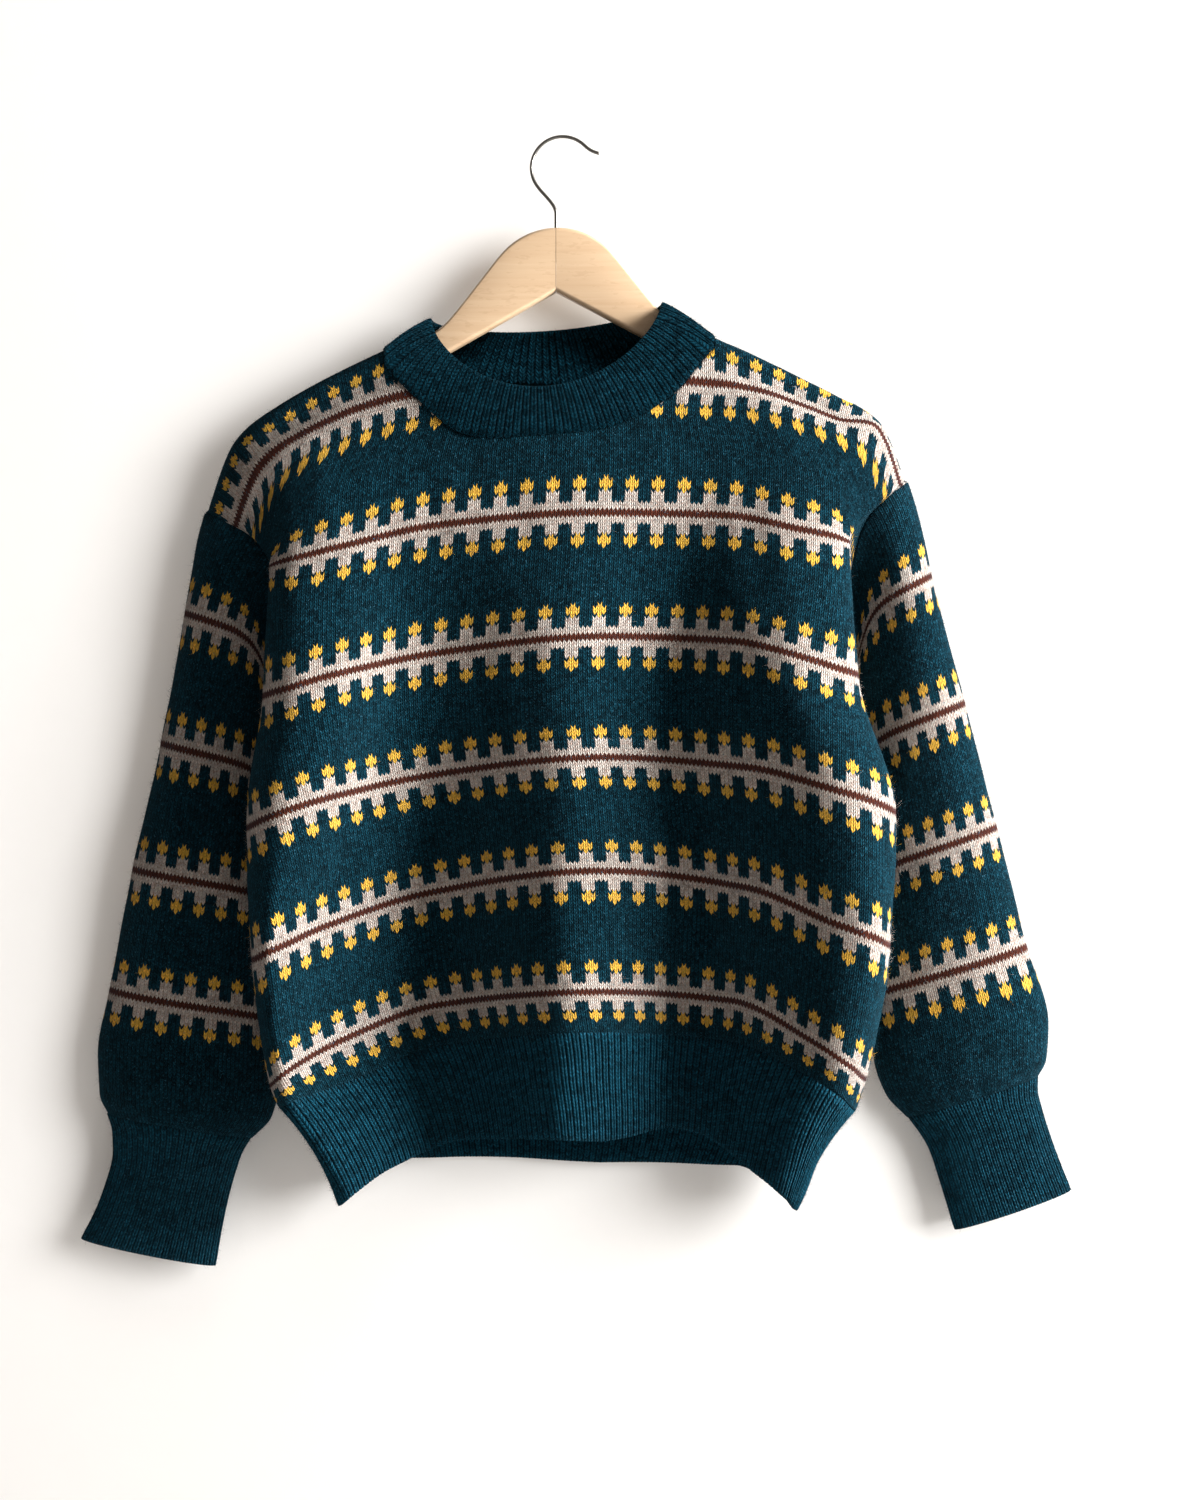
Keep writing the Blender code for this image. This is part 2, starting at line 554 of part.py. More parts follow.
def columns():
    return (list(K_COLUMNS_SIDE_L) + [NECK_K[0]] + neck_columns() + [NECK_K[1]]
            + list(K_COLUMNS_SIDE_R))


def panel_grid(face, cols, low, high):
    """Grid [column][row] of one body panel."""
    grid = []
    sides = [V_TOP - r for r in NECK_SIDE_ROWS[::-1]]       # below the seam
    for k in cols:
        top = min(neck_row(face, k), sides[0])
        rows = list(low) + [V_UNDERARM + (top - V_UNDERARM) * h for h in high[1:]]
        if NECK_K[0] < k < NECK_K[1]:
            rows += [top] * len(sides)                      # cells left out
        else:
            rows += sides[1:] + [V_TOP]
        grid.append([body_point(face, k, v) for v in rows])
    return np.array(grid)


# ================================================================== hem rib
def hem_row(face, t):
    p = read(HEM_COLUMNS, HEM_ROWS, t)
    tx_l = p["x_l"] + HEM_TUCK[0][0] + (HEM_TUCK[1][0] - HEM_TUCK[0][0]) * t
    tx_r = p["x_r"] - HEM_TUCK[0][1] - (HEM_TUCK[1][1] - HEM_TUCK[0][1]) * t
    ty = HEM_TUCK_Y
    share = TUCK_ROWS["hem"][-1]
    halves = {}
    for side, s, tx in (("right", "l", tx_l), ("left", "r", tx_r)):
        sil = np.array([p["x_" + s], p["y_s"], p[s + "100"]])
        tz = (p[s + "100"] - (5.0 if side == "right" else 4.0) * (1 - t)
              + HEM_SIDE_RISE * t * t)
        end = np.array([tx, ty, tz])
        full = wrap_curve(sil, end, 60)
        i = np.arange(len(full))
        if face == "front":
            curve, xi = half_row(p, s, CREST_X[0], sil[0], sil[1],
                                 read(DEPTH_COLUMNS, HEM_DEPTH_ROWS, t))
            for x, half, rise in HEM_WAVES:
                curve[:, 2] += rise * t * np.exp(-((curve[:, 0] - x) / half) ** 2)
            u = np.linspace(0, share * 59, 12)
            wrap = np.stack([np.interp(u, i, full[:, c]) for c in range(3)], -1)
        else:
            sign = -1.0 if side == "right" else 1.0
            rim = end - np.array([sign * 7.0, -1.5, -1.0])
            base = dict(read(HEM_BACK_COLUMNS, HEM_BACK_ROWS, t), y_c=28.0)
            base[s + "100"] = rim[2]
            curve, xi = half_row(base, s, CREST_X[0], rim[0], rim[1])
            curve[:, 1] -= folds(BACK_FOLDS, curve[:, 0], curve[:, 2]) * (1 - xi ** 10)
            wrap = wrap_curve(curve[-1], end, 8)
            u = np.linspace(59, share * 59, 24)
            tail = np.stack([np.interp(u, i, full[:, c]) for c in range(3)], -1)
            wrap = np.concatenate([wrap, tail[1:]])
        halves[side] = (curve, wrap)
    lc, lw = halves["right"]
    rc, rw = halves["left"]
    ks0, pts0 = body_row(face, 0.0)
    pts = np.concatenate([lw[::-1], lc[::-1][1:], rc[1:], rw[1:]])
    a = arc(pts)
    a0 = arc(pts0)
    # the same share of the row belongs to the same repeat as at the seam
    ks = np.interp(a / a[-1], a0 / a0[-1], ks0)
    return ks, pts


def hem_grid(face, cols, steps):
    grid = []
    rows = [hem_row(face, t) for t in steps]
    for k in cols:
        line = [body_point(face, k, 0.0)]
        for ks, pts in rows[1:]:
            line.append(np.array([np.interp(k, ks, pts[:, i]) for i in range(3)]))
        grid.append(line)
    return np.array(grid)


# ================================================================== sleeves
def sleeve_grid(side, levels, wales):
    return np.array([[sleeve_point(side, face, share, r) for r in levels]
                     for face, share in wales])


def cuff_ring(side, t, phi):
    table = CUFF_RIGHT if side == "right" else CUFF_LEFT
    p = read(CUFF_COLUMNS, table, t)
    c, s = math.cos(phi), math.sin(phi)
    inner = (1 - c) / 2
    skew = 1 - 0.08 * (1 - t) * inner
    x = p["x_out"] + (p["x_in"] - p["x_out"]) * inner
    z = p["z_out"] + (p["z_in"] - p["z_out"]) * inner
    y = CUFF_Y + (6 * inner - 3) * (1 - t) - p["half_depth"] * s * skew
    return np.array([x, y, z])


def cuff_grid(side, steps, wales):
    grid = []
    last = list(SLEEVES[side].values())[-1][0]
    for face, share in wales:
        s, _, phi = ring(side, face, last)
        a = float(np.interp(share, s, phi))
        grid.append([cuff_ring(side, t, a) for t in steps])
    return np.array(grid)


# ================================================================= neckband
def neck_ring(front, back, cols):
    """Neckline as a closed list of (face, column, row) of the two panels,
    with its direction from the middle of the neck."""
    n = front.shape[1]
    m = len(NECK_SIDE_ROWS)
    a, b = cols.index(NECK_K[0]), cols.index(NECK_K[1])
    ring_ = [("front", a, n - 1 - i) for i in range(m + 1)]
    ring_ += [("front", i, n - 1 - m) for i in range(a + 1, b)]
    ring_ += [("front", b, n - 1 - i) for i in range(m, -1, -1)]
    ring_ += [("back", b, n - 1 - i) for i in range(1, m + 1)]
    ring_ += [("back", i, n - 1 - m) for i in range(b - 1, a, -1)]
    ring_ += [("back", a, n - 1 - i) for i in range(m, 0, -1)]
    return ring_


def neckband_grid(front, back, cols, steps):
    """Closed ring of lines from the neckline seam to the free edge."""
    k0, k1 = NECK_K
    mid, half = (k0 + k1) / 2, (k1 - k0) / 2
    n = front.shape[1]
    grid = []
    for face, i, j in neck_ring(front, back, cols):
        seam = (front if face == "front" else back)[i, j]
        if k0 < cols[i] < k1:
            c = (cols[i] - mid) / half
            s = max(0.34, math.sqrt(max(0.0, 1 - c * c)))
            c = math.copysign(math.sqrt(1 - s * s), c)
        else:
            s = (0.0, 0.11, 0.19, 0.27)[n - 1 - j]
            c = math.copysign(math.sqrt(1 - s * s), cols[i] - mid)
        side_z = NECK_SIDE_Z[0] + (NECK_SIDE_Z[1] - NECK_SIDE_Z[0]) * (c + 1) / 2
        fwd, dip = NECK_FRONT if face == "front" else NECK_BACK
        sgn = -1.0 if face == "front" else 1.0
        free = np.array([NECK_MID_X + NECK_HALF_X * c,
                         sgn * fwd * s ** 0.9,
                         side_z - dip * s ** 1.3])
        out = unit(np.array([c * 0.7, sgn * s, 0.55]))
        grid.append([seam + (free - seam) * t + out * NECKBAND_SWELL * 4 * t * (1 - t)
                     for t in steps])
    return np.array(grid)


# ============================================================ cloth to walls
def normals(grid, closed):
    g = grid
    if closed:
        gp = np.concatenate([g[-1:], g, g[:1]])
        du = (gp[2:] - gp[:-2])
    else:
        du = np.gradient(g, axis=0)
    dv = np.gradient(g, axis=1)
    return unit(np.cross(du, dv))


class Cloth:
    def __init__(self, name, grid, closed, outward, material, out_cells=None):
        self.name, self.grid, self.closed = name, grid, closed
        self.material, self.outward = material, outward
        self.normal = normals(grid, closed) * outward
        nu, nv = grid.shape[:2]
        self.cells = [(i, j) for i in range(nu if closed else nu - 1)
                      for j in range(nv - 1)
                      if not (out_cells and out_cells(i, j))]

    def index(self, i, j):
        nu, nv = self.grid.shape[:2]
        return (i % nu) * nv + j

    def corners(self, i, j):
        return (self.index(i, j), self.index(i + 1, j),
                self.index(i + 1, j + 1), self.index(i, j + 1))

    def open_edges(self):
        """Directed edges that only one cell has."""
        edges = {}
        for cell in self.cells:
            q = self.corners(*cell)
            for a, b in zip(q, q[1:] + q[:1]):
                edges[(a, b)] = cell
        return [(a, b, c) for (a, b), c in edges.items() if (b, a) not in edges]

    def border(self):
        """{vertex: direction into the cloth} along the open edges."""
        g = self.grid.reshape(-1, 3)
        into = {}
        for a, b, cell in self.open_edges():
            q = self.corners(*cell)
            centre = g[list(q)].mean(axis=0)
            along = unit(g[b] - g[a])
            d = centre - (g[a] + g[b]) / 2
            d = unit(d - along * float(d @ along))
            for v in (a, b):
                into[v] = into.get(v, 0) + d
        return {v: unit(d) for v, d in into.items()}


def join_seams(cloths):
    """Share the normal where pieces meet, and draw each back by half a gap."""
    pos, ref = [], []
    for ci, c in enumerate(cloths):
        flat = c.grid.reshape(-1, 3)
        for v, d in c.border().items():
            pos.append(flat[v])
            ref.append((ci, v, d))
    pos = np.array(pos)
    moves, shared = [], []
    for a in range(len(pos)):
        ci, va, d = ref[a]
        near = np.nonzero(np.linalg.norm(pos - pos[a], axis=1) < 0.02)[0]
        mates = {ref[b][0]: ref[b][1] for b in near if ref[b][0] != ci}
        if not mates:
            continue
        total = cloths[ci].normal.reshape(-1, 3)[va].copy()
        for cb, vb in mates.items():
            total = total + cloths[cb].normal.reshape(-1, 3)[vb]
        if np.linalg.norm(total) > 0.15:
            shared.append((ci, va, unit(total)))
        moves.append((ci, va, d * GAP / 2))
    for ci, v, n in shared:
        cloths[ci].normal.reshape(-1, 3)[v] = n
    for ci, v, m in moves:
        cloths[ci].grid.reshape(-1, 3)[v] += m


def wall_mesh(c):
    g = c.grid.reshape(-1, 3)
    n = c.normal.reshape(-1, 3)
    used = sorted({v for cell in c.cells for v in c.corners(*cell)})
    new = {v: i for i, v in enumerate(used)}
    verts = np.concatenate([g[used] + n[used] * WALL / 2,
                            g[used] - n[used] * WALL / 2]) * MM
    off = len(used)
    faces = []
    for cell in c.cells:
        q = c.corners(*cell)
        # one diagonal, the shorter, for both faces of the wall
        if math.dist(g[q[0]], g[q[2]]) <= math.dist(g[q[1]], g[q[3]]):
            split = ((0, 1, 2), (0, 2, 3))
        else:
            split = ((0, 1, 3), (1, 2, 3))
        for t in split:
            f = [new[q[i]] for i in t]
            faces.append(f)
            faces.append([off + i for i in f[::-1]])
    for a, b, _ in c.open_edges():
        a, b = new[a], new[b]
        if math.dist(verts[a], verts[off + b]) < math.dist(verts[b], verts[off + a]):
            faces += [[b, a, off + b], [a, off + a, off + b]]
        else:
            faces += [[b, a, off + a], [b, off + a, off + b]]
    if c.outward < 0:
        faces = [f[::-1] for f in faces]
    return verts, faces


# ================================================================ materials
def material(name, colour, roughness, metallic=0.0):
    m = bpy.data.materials.new(name)
    m.use_nodes = True
    b = m.node_tree.nodes["Principled BSDF"]
    b.inputs["Base Color"].default_value = (*colour, 1.0)
    b.inputs["Roughness"].default_value = roughness
    b.inputs["Metallic"].default_value = metallic
    return m


KNIT = ("patterned_knit", (0.010, 0.062, 0.088), 0.9, 0.0)
RIB = ("teal_rib", (0.009, 0.052, 0.075), 0.9, 0.0)
WOOD = ("pale_beech", (0.80, 0.63, 0.42), 0.5, 0.0)
STEEL = ("hook_steel", (0.72, 0.72, 0.70), 0.25, 1.0)


def add_object(name, verts, faces, mat, smooth_angle=None):
    me = bpy.data.meshes.new(name)
    me.from_pydata([tuple(map(float, v)) for v in verts], [], [tuple(f) for f in faces])
    kind, colour, roughness, metallic = mat
    me.materials.append(material(name + "_" + kind, colour, roughness, metallic))
    me.update()
    if smooth_angle is not None:
        me.shade_smooth()
        me.set_sharp_from_angle(angle=smooth_angle)
    ob = bpy.data.objects.new(name, me)
    bpy.context.scene.collection.objects.link(ob)
    return ob


# =================================================================== hanger
def hump(x):
    """Upper edge of the wood, x from the joint line, 0 at the top."""
    x = np.asarray(x, float)
    r = 52.0
    bend = r * math.sin(math.radians(52))
    arc_z = np.sqrt(np.maximum(r * r - np.minimum(x, bend) ** 2, 0)) - r
    z_bend = math.sqrt(r * r - bend * bend) - r
    steep = z_bend - (x - bend) * math.tan(math.radians(52))
    slope = -71.5 - 0.49 * (x - 83.0)
    # the steep side runs into the shoulder with a soft inner curve
    z_line = 0.5 * (steep + slope + np.sqrt((steep - slope) ** 2 + 5.0 ** 2))
    return np.where(x < bend, arc_z, np.minimum(z_line, z_bend))


def underside(x):
    return -45.5 - 0.548 * np.asarray(x, float)


def hanger_half(sign, name):
    """Loft of one half: eight-sided sections from the joint to the tip."""
    xs = [0.15] + [6, 13, 20, 27, 34, 41, 48, 55, 62, 69, 76, 84, 100, 125,
                   150, 175, 190, 198, 202.5, HANGER_REACH]
    verts, faces = [], []
    h, e = HANGER_THICK / 2, HANGER_EDGE
    for x in xs:
        top, low = float(hump(x)), float(underside(x))
        mid, half = (top + low) / 2, (top - low) / 2
        end = max(0.0, (x - (HANGER_REACH - 12.0)) / 12.0)
        k = math.sqrt(max(0.0, 1 - end ** 2.4))
        half = 1.5 + (half - 1.5) * k
        hh = 2.0 + (h - 2.0) * (0.25 + 0.75 * k)
        ee = min(e, half * 0.6, hh * 0.6)
        ring = [(-hh, half - ee), (-hh + ee, half), (hh - ee, half), (hh, half - ee),
                (hh, -half + ee), (hh - ee, -half), (-hh + ee, -half), (-hh, -half + ee)]
        for y, z in ring:
            px, pz = sign * x, mid + z
            ca, sa = math.cos(HANGER_TILT), math.sin(HANGER_TILT)
            verts.append((HANGER_X + px * ca, y, HANGER_TOP + pz * ca + px * sa))
    n = len(xs)
    for i in range(n - 1):
        for j in range(8):
            a, b = i * 8 + j, i * 8 + (j + 1) % 8
            faces.append((a, b, b + 8, a + 8))
    faces.append(tuple(range(7, -1, -1)))
    faces.append(tuple((n - 1) * 8 + j for j in range(8)))
    if sign > 0:
        faces = [f[::-1] for f in faces]
    verts = np.array(verts) * MM
    ob = add_object(name, verts, faces, WOOD, math.radians(40))
    cut = ob.modifiers.new("shank_bore", "BOOLEAN")
    cut.operation = "DIFFERENCE"
    cut.object = bore
    return ob


def tube(points, radius, sides=12):
    """Closed round bar along the points, in the XZ plane."""
    verts, faces = [], []
    n = len(points)
    for i, p in enumerate(points):
        a = points[max(i - 1, 0)]
        b = points[min(i + 1, n - 1)]
        t = unit(np.array(b) - np.array(a))
        side = np.array([-t[2], 0.0, t[0]])
        up = np.array([0.0, 1.0, 0.0])
        for j in range(sides):
            th = 2 * math.pi * j / sides
            verts.append(np.array(p) + radius * (math.cos(th) * side + math.sin(th) * up))
    for i in range(n - 1):
        for j in range(sides):
            a, b = i * sides + j, i * sides + (j + 1) % sides
            faces.append((a, a + sides, b + sides, b))
    faces.append(tuple(range(sides)))
    faces.append(tuple((n - 1) * sides + j for j in range(sides - 1, -1, -1)))
    return np.array(verts), faces


def hook_route():
    """Tip flare, round hook, swan neck and shank; crown just over the origin."""
    r = HOOK_R
    cx, cz = -0.9, WIRE / 2 - r
    pts = []
    a0, a1 = math.radians(44), math.radians(216)
    # tip: a small outward flare
    ex, ez = cx + r * math.cos(a0), cz + r * math.sin(a0)
    tx, tz = math.sin(a0), -math.cos(a0)
    for i in range(5, 0, -1):
        s = 2.2 * i
        pts.append((ex + tx * s + 0.020 * s * s, 0.0, ez + tz * s + 0.022 * s * s))
    for i in range(27):
        a = a0 + (a1 - a0) * i / 26
        pts.append((cx + r * math.cos(a), 0.0, cz + r * math.sin(a)))
    # swan neck from the end of the round to the vertical shank
    x0, z0 = pts[-1][0], pts[-1][2]
    d0 = (-math.sin(a1), math.cos(a1))
    x1, z1 = HANGER_X, -54.0
    for i in range(1, 13):
        t = i / 12
        h00, h10 = 2 * t ** 3 - 3 * t ** 2 + 1, t ** 3 - 2 * t ** 2 + t
        h01, h11 = -2 * t ** 3 + 3 * t ** 2, t ** 3 - t ** 2
        length = 24.0
        pts.append((h00 * x0 + h10 * length * d0[0] + h01 * x1, 0.0,
                    h00 * z0 + h10 * length * d0[1] + h01 * z1 - h11 * 20.0))
    pts.append((HANGER_X, 0.0, -60.0))
    pts.append((HANGER_X, 0.0, HANGER_TOP - SHANK_IN))
    return pts


def bore_cutter():
    pts = [(HANGER_X, 0.0, HANGER_TOP + 6.0), (HANGER_X, 0.0, HANGER_TOP - SHANK_IN - 1.0)]
    verts, faces = tube(pts, WIRE / 2 + 0.45, 12)
    ob = add_object("shank_bore_cutter", verts * MM, faces, WOOD)
    ob.hide_render = True
    ob.display_type = "WIRE"
    return ob


# ==================================================================== build
def build_cloths():
    cols = columns()
    low, high = ROW_LEVELS_LOW, ROW_SHARES_HIGH
    front = panel_grid("front", cols, low, high)
    back = panel_grid("back", cols, low, high)
    side_v = V_TOP - NECK_SIDE_ROWS[-1]
    rows = list(low) + [V_UNDERARM + (side_v - V_UNDERARM) * h for h in high[1:]]
    rows += [V_TOP - r for r in NECK_SIDE_ROWS[-2::-1]] + [V_TOP]
    # side seams, shoulder seams and armholes are one line for both pieces
    for i in (0, -1):
        for j, v in enumerate(rows):
            if v <= V_UNDERARM:
                back[i, j] = front[i, j]
    for i, k in enumerate(cols):
        if not NECK_K[0] < k < NECK_K[1]:
            back[i, -1] = front[i, -1]
    a, b, n = cols.index(NECK_K[0]), cols.index(NECK_K[1]), len(rows)

    def in_neck(i, j):
        return a <= i < b and j >= n - 1 - len(NECK_SIDE_ROWS)

    hem_steps = (0.0, 0.16, 0.38, 0.68, 1.0)
    hem_front = hem_grid("front", cols, hem_steps)
    hem_back = hem_grid("back", cols, hem_steps)
    for i in (0, -1):
        hem_back[i] = hem_front[i]
    hem_back[:, 0] = back[:, 0]
    out = [
        Cloth("front_panel", front, False, 1.0, KNIT, in_neck),
        Cloth("back_panel", back, False, -1.0, KNIT, in_neck),
        Cloth("hem_rib_front", hem_front, False, -1.0, RIB),
        Cloth("hem_rib_back", hem_back, False, 1.0, RIB),
    ]
    rows_up = [v for v in rows if v >= V_UNDERARM]
    shares = [(V_TOP - v) / (V_TOP - V_UNDERARM) for v in rows_up]
    wales = [("front", f) for f in shares[::-1]] + [("back", f) for f in shares[1:-1]]
    base, nf = len(low) - 1, len(rows_up)
    for side, turn in (("right", 1.0), ("left", -1.0)):
        col = 0 if side == "right" else -1
        last = list(SLEEVES[side].values())[-1][0]
        levels = (0.0, 11.0, 24.0, 40.0, 58.0, 78.0, 100.0, 122.0, 142.0, 158.0,
                  169.0, last)
        g = sleeve_grid(side, levels, wales)
        for i in range(nf):                     # front edge, from the shoulder
            g[i, 0] = front[col, base + nf - 1 - i]
        for i in range(1, nf - 1):              # back edge, from the underarm
            g[nf - 1 + i, 0] = back[col, base + i]
        cg = cuff_grid(side, (0.0, 0.13, 0.32, 0.62, 1.0), wales)
        cg[:, 0] = g[:, -1]
        out.append(Cloth("sleeve_" + side, g, True, -turn, KNIT))
        out.append(Cloth("cuff_" + side, cg, True, -turn, RIB))
    nb = neckband_grid(front, back, cols, (0.0, 0.25, 0.5, 0.75, 1.0))
    out.append(Cloth("neckband", nb, True, 1.0, RIB))
    return out


cloths = build_cloths()
join_seams(cloths)
underarm = ROW_LEVELS_LOW.index(V_UNDERARM)
for c in cloths:                    # at the underarm point the cloth faces down
    if c.name in ("front_panel", "back_panel"):
        c.normal[0, underarm] = c.normal[-1, underarm] = (0.0, 0.0, -1.0)
    if c.name.startswith("sleeve"):
        c.normal[len(ROW_SHARES_HIGH) + len(NECK_SIDE_ROWS) - 1, 0] = (0.0, 0.0, -1.0)
for c in cloths:
    v_, f_ = wall_mesh(c)
    add_object(c.name, v_, f_, c.material, math.radians(60))

bore = bore_cutter()
hanger_half(-1.0, "hanger_half_right")
hanger_half(1.0, "hanger_half_left")
hook_v, hook_f = tube(hook_route(), WIRE / 2)
add_object("hanger_hook", hook_v * MM, hook_f, STEEL, math.radians(60))
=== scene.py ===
"""Looks of the fair isle jumper on its wooden hanger: knitted shells on the
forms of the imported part, ribs in real relief, charted wool, wood and wire."""
import math

import bmesh
import bpy
import numpy as np
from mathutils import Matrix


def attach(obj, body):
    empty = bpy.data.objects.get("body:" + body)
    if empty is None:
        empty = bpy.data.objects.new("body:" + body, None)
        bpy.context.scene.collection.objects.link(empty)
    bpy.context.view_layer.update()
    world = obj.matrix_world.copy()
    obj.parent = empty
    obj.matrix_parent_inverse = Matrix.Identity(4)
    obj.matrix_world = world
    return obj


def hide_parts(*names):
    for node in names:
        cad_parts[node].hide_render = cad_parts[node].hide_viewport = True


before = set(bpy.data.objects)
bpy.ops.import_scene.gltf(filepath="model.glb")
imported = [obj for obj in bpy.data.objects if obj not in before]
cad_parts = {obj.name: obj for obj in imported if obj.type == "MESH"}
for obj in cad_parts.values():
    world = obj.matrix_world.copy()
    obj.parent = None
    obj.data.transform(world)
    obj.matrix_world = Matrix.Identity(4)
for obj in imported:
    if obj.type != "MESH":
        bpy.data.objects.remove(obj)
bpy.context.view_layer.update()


MM = 0.001

# ----------------------------------------------------------------- sizes (mm)
WALL = 2.4              # knitted fabric
GAP = 0.34              # between two pieces at a seam
ROW = 2.34              # height of one knitted row
REPEAT = 18.1           # width of one 6-stitch repeat, relaxed
HALF_REPEATS = 16.5     # front and back are 33 repeats wide each
V_TOP = 216.0           # rows from hem rib to shoulder seam
V_UNDERARM = 146.5      # row where the armhole starts
NECK_K = (-6.7, 6.2)    # neckline ends on the shoulder seam, in repeats
NECK_FRONT_ROWS = 31.8  # depth of the front neckline, in rows
NECK_BACK_ROWS = 7.8
NECK_X = (-127.1, 106.5)    # the neckline ends, in mm
NECK_POWER = 3.0
NECK_SKEW = 0.08            # it hangs a little lower towards the right
NECK_SIDE_ROWS = (2.6, 5.2, 7.8)   # steps of its straight sides, in rows

HANGER_X = -5.6         # joint line of the two hanger halves
HANGER_TOP = -64.6      # top of the wood
HANGER_TILT = math.radians(1.3)
HANGER_REACH = 205.0    # centre to tip
HANGER_THICK = 12.0
HANGER_EDGE = 3.2       # rounding of the wood's edges
WIRE = 2.4              # hook wire diameter
HOOK_R = 22.4           # centreline radius of the hook
SHANK_IN = 24.0         # length of the hook's shank inside the wood

# ------------------------------------------------- rows of the front panel
# x_l, x_r: silhouette; z_c: height at the crest of the arch; l50..l100 and
# r50..r100: heights at 50, 80, 92 and 100 % of the way to the silhouette;
# y_s: depth at the silhouettes; k_l, k_r: repeats seen between wale 0 and each
# silhouette.
FRONT_COLUMNS = ("v", "x_l", "x_r", "z_c", "l50", "l80", "l92", "l100",
                 "r50", "r80", "r92", "r100", "y_s", "k_l", "k_r")
FRONT_ROWS = {
    "hem":      (0.0, -198, 204, -633, -642, -668, -678, -685, -639, -663, -678, -688, -20, 15.9, 16.1),
    "band_5":   (14.0, -204, 211, -605, -614, -640, -657, -671, -611, -641, -657, -666, -22, 15.6, 16.0),
    "band_4":   (51.0, -216, 228, -521, -536, -560, -575, -583, -532, -558, -567, -573, -26, 15.2, 15.7),
    "band_3":   (88.0, -221, 232, -442, -455, -473, -484, -492, -449, -466, -474, -481, -26, 14.1, 15.3),
    "band_2":   (125.0, -210, 206, -358, -370, -386, -395, -400, -361, -374, -381, -385, -26, 12.4, 13.1),
    "band_1":   (162.0, -206, 201, -272, -281, -297, -304, -308, -274, -284, -288, -291, -22, 11.5, 11.9),
    "armpit":   (178.0, -209, 208, -231, -243, -263, -276, -297, -235, -249, -258, -276, -18, 12.2, 12.6),
    "shoulder": (199.0, -231, 241, -178, -192, -218, -240, -281, -184.5, -203, -218.5, -247, -13, 16.0, 16.0),
    "seam":     (216.0, -255, 244, -102, -154.3, -194, -217.5, -267, -149.8, -185.9, -201.5, -246, 8, 16.4, 16.4),
}
CREST_X = (26.0, -5.0)       # x of the crest below the yoke, at the seam
SEAM_BEHIND = {"right": 0.0, "left": 8.5}    # rows from the ridge back to the
SEAM_STRAIGHT = 0.37         # shoulder seam at the armhole; none up to here
ARMHOLE_START = {"right": 0.0, "left": -1.0}     # angle of the same point

# ---------------------------------------------------- rows of the back panel
BACK_COLUMNS = ("v", "z_c", "y_c", "fall_power")
BACK_ROWS = {
    "hem":      (0.0, -667, 28, 2.2),
    "band_5":   (14.0, -634, 30, 2.2),
    "band_4":   (51.0, -546, 32, 2.2),
    "band_3":   (88.0, -459, 33, 2.2),
    "band_2":   (125.0, -372, 33, 2.2),
    "band_1":   (162.0, -285, 31, 2.3),
    "shoulder": (199.0, -197, 27, 2.4),
    "neck":     (216.0, -151, 25, 2.4),
}

# how both panels fold over the hanger, from the shoulder seam down
OVER_COLUMNS = ("rows_down", "out", "drop")
OVER_ROWS = {
    "seam":  (0.0, 0.0, 0.0),
    "ridge": (2.5, 5.9, 0.3),
    "over":  (4.6, 9.4, 3.8),
    "face":  (8.0, 10.9, 11.4),
    "down":  (19.0, 13.0, 37.0),
}

# ---------- tuck line: where the side of the body turns in behind its front
TUCK_COLUMNS = ("v", "x_l", "z_l", "x_r", "z_r", "y", "seam_share")
TUCK_ROWS = {
    "hem":      (0.0, -187, -690, 194, -692, 12, 0.35),
    "band_5":   (14.0, -191, -677, 196, -671, 13, 0.35),
    "band_4":   (51.0, -194, -588, 197, -577, 14, 0.50),
    "band_3":   (88.0, -194, -499, 196, -487, 14, 0.85),
    "band_2":   (125.0, -192, -419, 196, -402, 13, 1.0),
    "low":      (138.0, -192, -388, 196, -371, 13, 1.0),
}

# ----------------------------------------------- how far forward the front is
# Five upright folds: x and y of the left crest, the brink and the foot of the
# steep drop beside it, the first valley, the middle crest, the second valley,
# the ledge past its sharp crease, and the right crest.
DEPTH_COLUMNS = ("v", "crest_l_x", "crest_l_y", "brink_x", "brink_y", "foot_x",
                 "foot_y", "valley_a_x", "valley_a_y", "crest_m_x", "crest_m_y",
                 "valley_b_x", "valley_b_y", "ledge_x", "ledge_y", "crest_r_x", "crest_r_y")
DEPTH_ROWS = {
    "hem":      (0.0, -188, -62, -181, -56, -156, -36, -88, -4, 4, -58, 98, -14, 138, -46, 184, -76),
    "band_5":   (14.0, -192, -66, -186, -61, -162, -40, -88, -2, 4, -57, 98, -13, 140, -46, 190, -78),
    "band_4":   (51.0, -200, -70, -194, -66, -165, -38, -94, -2, 5, -47, 98, -15, 142, -46, 205, -76),
    "band_3":   (88.0, -190, -69, -178, -66, -122, -22, -98, -15, 4, -45, 79, -20, 135, -48, 192, -70),
    "band_2":   (125.0, -182, -61, -157, -56, -118, -30, -93, -24, 0, -41, 80, -24, 122, -44, 162, -57),
    "band_1":   (162.0, -176, -40, -152, -37, -120, -30, -95, -28, 0, -33, 84, -28, 124, -33, 164, -39),
    "armpit":   (178.0, -172, -32, -150, -30, -122, -27, -97, -25, 0, -27, 86, -25, 124, -27, 166, -32),
    "shoulder": (199.0, -170, -21, -150, -20.5, -124, -20, -98, -19.5, 0, -20, 88, -19, 124, -20, 168, -21),
    "seam":     (216.0, -170, -1, -150, -0.5, -124, 0, -98, 0, 0, 0, 88, 0, 124, 0, 168, -1),
}
FRONT_PLANE = -45.0     # the heights in the row tables are those of this depth;
